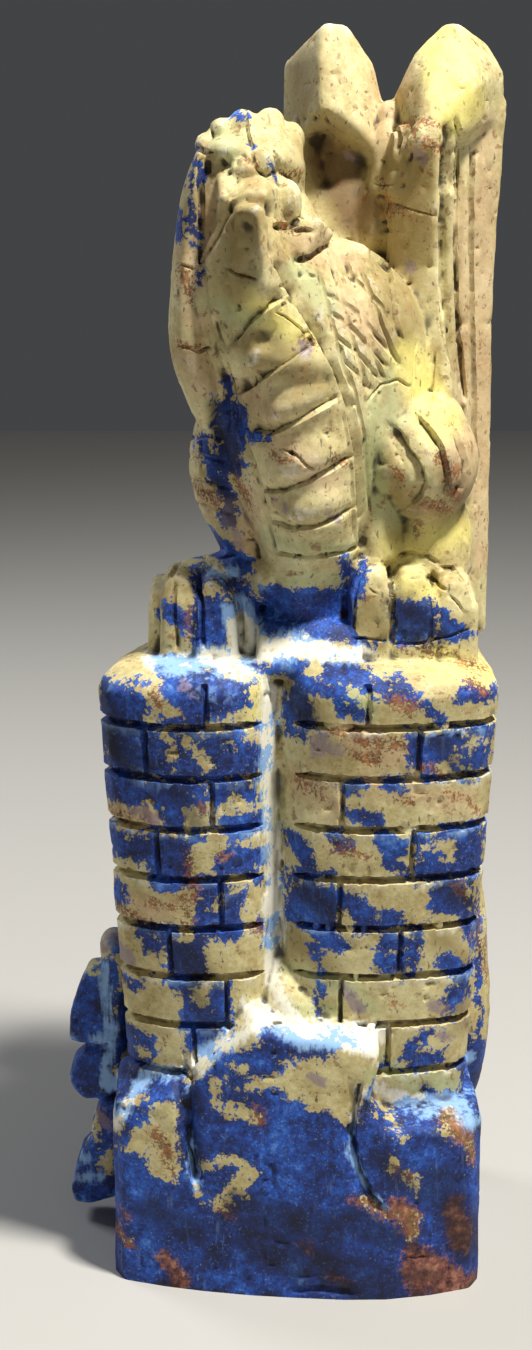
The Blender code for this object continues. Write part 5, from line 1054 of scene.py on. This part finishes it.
class Wire:
    """A socket of the stone's material: sums of wires add their Math nodes."""

    def __init__(self, tree, socket=None):
        self.tree = tree
        self.socket = socket

    def node(self, kind, settings=(), values=(), out=0):
        """Add a node, set it up, then set or link its sockets."""
        made = self.tree.nodes.new(kind)
        for key, value in dict(settings).items():
            if key == "stops":
                while len(made.color_ramp.elements) < len(value):
                    made.color_ramp.elements.new(0.5)
                for element, (place, colour) in zip(made.color_ramp.elements, value):
                    element.position = place
                    element.color = colour
            else:
                setattr(made, key, value)
        for key, value in dict(values).items():
            if isinstance(value, Wire):
                self.tree.links.new(value.socket, made.inputs[key])
            else:
                made.inputs[key].default_value = value
        return Wire(self.tree, made.outputs[out] if made.outputs else None)

    def math(self, operation, first, second):
        return self.node("ShaderNodeMath", {"operation": operation}, {0: first, 1: second})

    def __add__(self, other):
        return self.math("ADD", self, other)

    def __radd__(self, other):
        return self.math("ADD", other, self)

    def __sub__(self, other):
        return self.math("SUBTRACT", self, other)

    def __rsub__(self, other):
        return self.math("SUBTRACT", other, self)

    def __mul__(self, other):
        return self.math("MULTIPLY", self, other)

    def __rmul__(self, other):
        return self.math("MULTIPLY", other, self)

    def between(self, low, high):
        """0 below low, 1 above high and an even change between them."""
        return self.node("ShaderNodeMapRange", {"interpolation_type": "SMOOTHSTEP"},
                         {0: self, 1: low, 2: high, 3: 0.0, 4: 1.0})


def rgb(red, green, blue):
    """A colour as a painter's 0 to 255 values, made linear for the shader."""
    values = [v / 255 for v in (red, green, blue)]
    return [v / 12.92 if v < 0.04045 else ((v + 0.055) / 1.055) ** 2.4 for v in values] + [1.0]


material = bpy.data.materials.new("azurite_stone")
material.use_nodes = True
tree = material.node_tree
tree.nodes.clear()
new = Wire(tree)
place = new.node("ShaderNodeTexCoord", out="Object")


def speckle(size, detail=3.0, rough=0.55, offset=0.0, stretch=(1, 1, 1), turn=0.0):
    """Noise whose grains are size mm across, 0 to 1, drawn out and turned as seen from the front."""
    moved = new.node("ShaderNodeMapping", {}, {
        "Vector": place, "Location": (offset, offset * 0.7, offset * 0.3), "Rotation": (0, turn, 0),
        "Scale": stretch})
    return new.node("ShaderNodeTexNoise", {}, {"Vector": moved, "Scale": 1000 / size, "Detail": detail,
                                               "Roughness": rough})


def mixed(factor, first, second):
    return new.node("ShaderNodeMix", {"data_type": "RGBA"}, {0: factor, 6: first, 7: second}, out=2)


def reading(name):
    return new.node("ShaderNodeAttribute", {"attribute_name": name}, out="Fac")


depth_in = reading("azurite")
cavity = reading("hollow")
coarse = speckle(4.0, 4.0, 0.6)
fine = speckle(1.1, 4.0, 0.65, 0.4)
dust = speckle(0.45, 3.0, 0.6, 0.9)
wide = speckle(12.0, 3.0, 0.5, 1.7)
scratch = speckle(0.9, 3.0, 0.6, 3.1, (1, 1, 0.14), 0.12)
ragged = (coarse - 0.5) * 3.6 + (fine - 0.5) * 4.4 + (dust - 0.5) * 1.8
blue_here = (depth_in + ragged).between(-0.3, 0.3)

# Azurite: nearly black to bright blue, with pale grains and scratches.
azure = new.node("ShaderNodeValToRGB", {"stops": (
    (0.30, rgb(16, 16, 34)), (0.42, rgb(24, 34, 76)), (0.50, rgb(32, 56, 128)), (0.58, rgb(40, 88, 184)),
    (0.68, rgb(104, 156, 226)))}, {0: coarse * 0.4 + fine * 0.35 + wide * 0.25})
azure = mixed(dust.between(0.44, 0.36) * 0.5, azure, rgb(14, 14, 28))
azure = mixed(dust.between(0.60, 0.68) * 0.45, azure, rgb(110, 156, 222))
azure = mixed(scratch.between(0.60, 0.72) * 0.4, azure, rgb(96, 124, 176))

# The rock: cream to olive and brown, freckled with rust, with short dark flecks that lean over.
rock = new.node("ShaderNodeValToRGB", {"stops": (
    (0.26, rgb(112, 88, 54)), (0.38, rgb(166, 147, 96)), (0.5, rgb(199, 187, 136)),
    (0.6, rgb(220, 210, 162)), (0.72, rgb(242, 236, 206)))},
    {0: wide * 0.35 + coarse * 0.3 + fine * 0.35})


def tinted(under, name, strength, tint, soft=2.4):
    """Lay a tint where that field of marks reaches, with a soft ragged rim."""
    return mixed((reading(name) + ragged * 0.5).between(-soft, soft * 0.6) * strength, under, tint)


rock = tinted(rock, "pink", 0.45, rgb(204, 166, 134))
# mostly painted highlight: pale yellow laid on the wing tops, the shoulder, the instep and other faces that
# the light falls full on, a little of it the stone's own yellow
rock = tinted(rock, "yellow", 0.6, rgb(246, 234, 128))
# partly painted shade: faces turned from the light, such as the wing's arm, the throat and the hollow, are
# tinted olive, partly the stone's own olive
rock = tinted(rock, "olive", 0.72, rgb(140, 121, 70))
# partly painted shade: the deep hollow between the wings is darkened brown for its shadow, with a few brown
# patches elsewhere
rock = tinted(rock, "umber", 0.75, rgb(104, 78, 50))
rock = tinted(rock, "green", 0.45, rgb(170, 188, 138), 1.4)
brown = speckle(6.0, 4.0, 0.65, 6.4).between(0.52, 0.72)
rock = mixed(brown * 0.4, rock, rgb(158, 118, 74))
freckles = speckle(2.0, 2.0, 0.5, 4.2).between(0.56, 0.66) * fine.between(0.48, 0.6)
rock = mixed(freckles * 0.7, rock, rgb(128, 80, 46))
leaning = speckle(0.75, 1.0, 0.5, 5.2, (1, 1, 0.4), -0.6).between(0.70, 0.75)
rock = mixed(leaning * 0.65, rock, rgb(78, 72, 72))
specks = speckle(0.8, 2.0, 0.5, 2.3).between(0.66, 0.74)
rock = mixed(specks * 0.6, rock, rgb(92, 62, 40))
colour = mixed(blue_here, rock, azure)

# Marks that lie across both stones.
rusty = new.node("ShaderNodeValToRGB", {"stops": (
    (0.36, rgb(46, 28, 24)), (0.48, rgb(108, 62, 36)), (0.56, rgb(156, 96, 52)),
    (0.66, rgb(204, 150, 92)))}, {0: fine * 0.6 + coarse * 0.4})
rust_here = reading("rust") + ragged * 0.5 + (dust - 0.5) * 4.0
colour = mixed(rust_here.between(-0.4, 0.5) * 0.86, colour, rusty)
colour = mixed((reading("mauve") + ragged * 0.6).between(-0.4, 0.4) * 0.75, colour, rgb(140, 122, 134))
# painted shade: near black laid where the stone lies in shadow, such as the crevices and the groove beside
# the lock; on the sides and back the same marks are strewn about
colour = mixed((reading("dark") + ragged * 0.7).between(-1.2, 0.9) * 0.62, colour, rgb(20, 17, 24))
# The pale colour serves both the white powder and painted highlights: the powder marks also paint
# highlights on lit ledges, the perch edge and the fins, and the same colour lights the worn edges and the
# mortar lips
highlight_and_powder = mixed(blue_here, rgb(238, 236, 222), rgb(150, 190, 236))
powder_and_highlight_here = (reading("powder") + ragged * 0.3 + (scratch - 0.5) * 3.0).between(-0.7, 0.5)
colour = mixed(powder_and_highlight_here * 0.85, colour, highlight_and_powder)

# Painted shade, with some dirt, darkens the cuts and hollows, and the edges are rubbed pale,
# partly a painted highlight.
shade_and_dirt = cavity.between(0.10, 0.62)
colour = mixed(shade_and_dirt * 0.85, colour, rgb(30, 24, 22))
worn_and_highlit = (0.0 - cavity).between(0.45, 1.0) * fine.between(0.36, 0.6)
colour = mixed(worn_and_highlit * 0.7, colour, highlight_and_powder)
# painted highlight on the lit lip below each mortar line
colour = mixed(reading("lip") * 0.95, colour, highlight_and_powder)

relief = fine * 0.5 + dust * 0.5 - leaning * 0.3 - specks * 0.2
bump = new.node("ShaderNodeBump", {}, {"Strength": 0.5, "Distance": 0.00015, "Height": relief})
shader = new.node("ShaderNodeBsdfPrincipled", {}, {
    "Base Color": colour, "Roughness": 0.52 + fine * 0.3 + shade_and_dirt * 0.1, "Normal": bump, "IOR": 1.5,
    "Specular IOR Level": 0.35})
new.node("ShaderNodeOutputMaterial", {}, {"Surface": shader})
carving.data.materials.append(material)

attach(carving, "root")
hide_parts("azurite_dragon_carving")

# A plain pale floor, soft light and the camera that took the picture.
bpy.ops.mesh.primitive_plane_add(size=3.0)
floor = bpy.context.object
floor.name = "floor"
floor_paint = bpy.data.materials.new("floor_paint")
floor_paint.use_nodes = True
floor_paint.node_tree.nodes["Principled BSDF"].inputs["Base Color"].default_value = (0.46, 0.45, 0.43, 1)
floor_paint.node_tree.nodes["Principled BSDF"].inputs["Roughness"].default_value = 0.8
floor.data.materials.append(floor_paint)


def lamp(name, at, aim, size, watts, tint):
    """A soft square light at one point, turned to another, both in metres."""
    light = bpy.data.lights.new(name, "AREA")
    light.size = size
    light.energy = watts
    light.color = tint
    holder = bpy.data.objects.new(name, light)
    bpy.context.collection.objects.link(holder)
    holder.location = at
    holder.rotation_euler = (Vector(aim) - Vector(at)).to_track_quat("-Z", "Y").to_euler()


lamp("key", (0.21, -0.19, 0.77), (0, 0, 0.11), 0.08, 10.4, (1.0, 0.97, 0.90))
lamp("fill", (0.12, -0.60, 0.34), (0, 0, 0.10), 0.5, 0.3, (1.0, 0.97, 0.92))
lamp("rim", (-0.42, 0.30, 0.46), (0, 0, 0.10), 0.2, 1.5, (0.92, 0.95, 1.0))
world = bpy.data.worlds.new("studio")
world.use_nodes = True
world.node_tree.nodes["Background"].inputs["Color"].default_value = (0.93, 0.95, 1.0, 1)
world.node_tree.nodes["Background"].inputs["Strength"].default_value = 0.06
bpy.context.scene.world = world
bpy.context.scene.view_settings.view_transform = "Standard"

camera = bpy.data.cameras.new("camera")
camera.lens = 53.33
camera.sensor_width = 36
camera.clip_start = 0.01
holder = bpy.data.objects.new("camera", camera)
bpy.context.collection.objects.link(holder)
holder.location = (-0.0049, -0.31105, 0.15975)
holder.rotation_euler = (math.radians(78), 0, 0)
bpy.context.scene.camera = holder

bpy.context.view_layer.update()
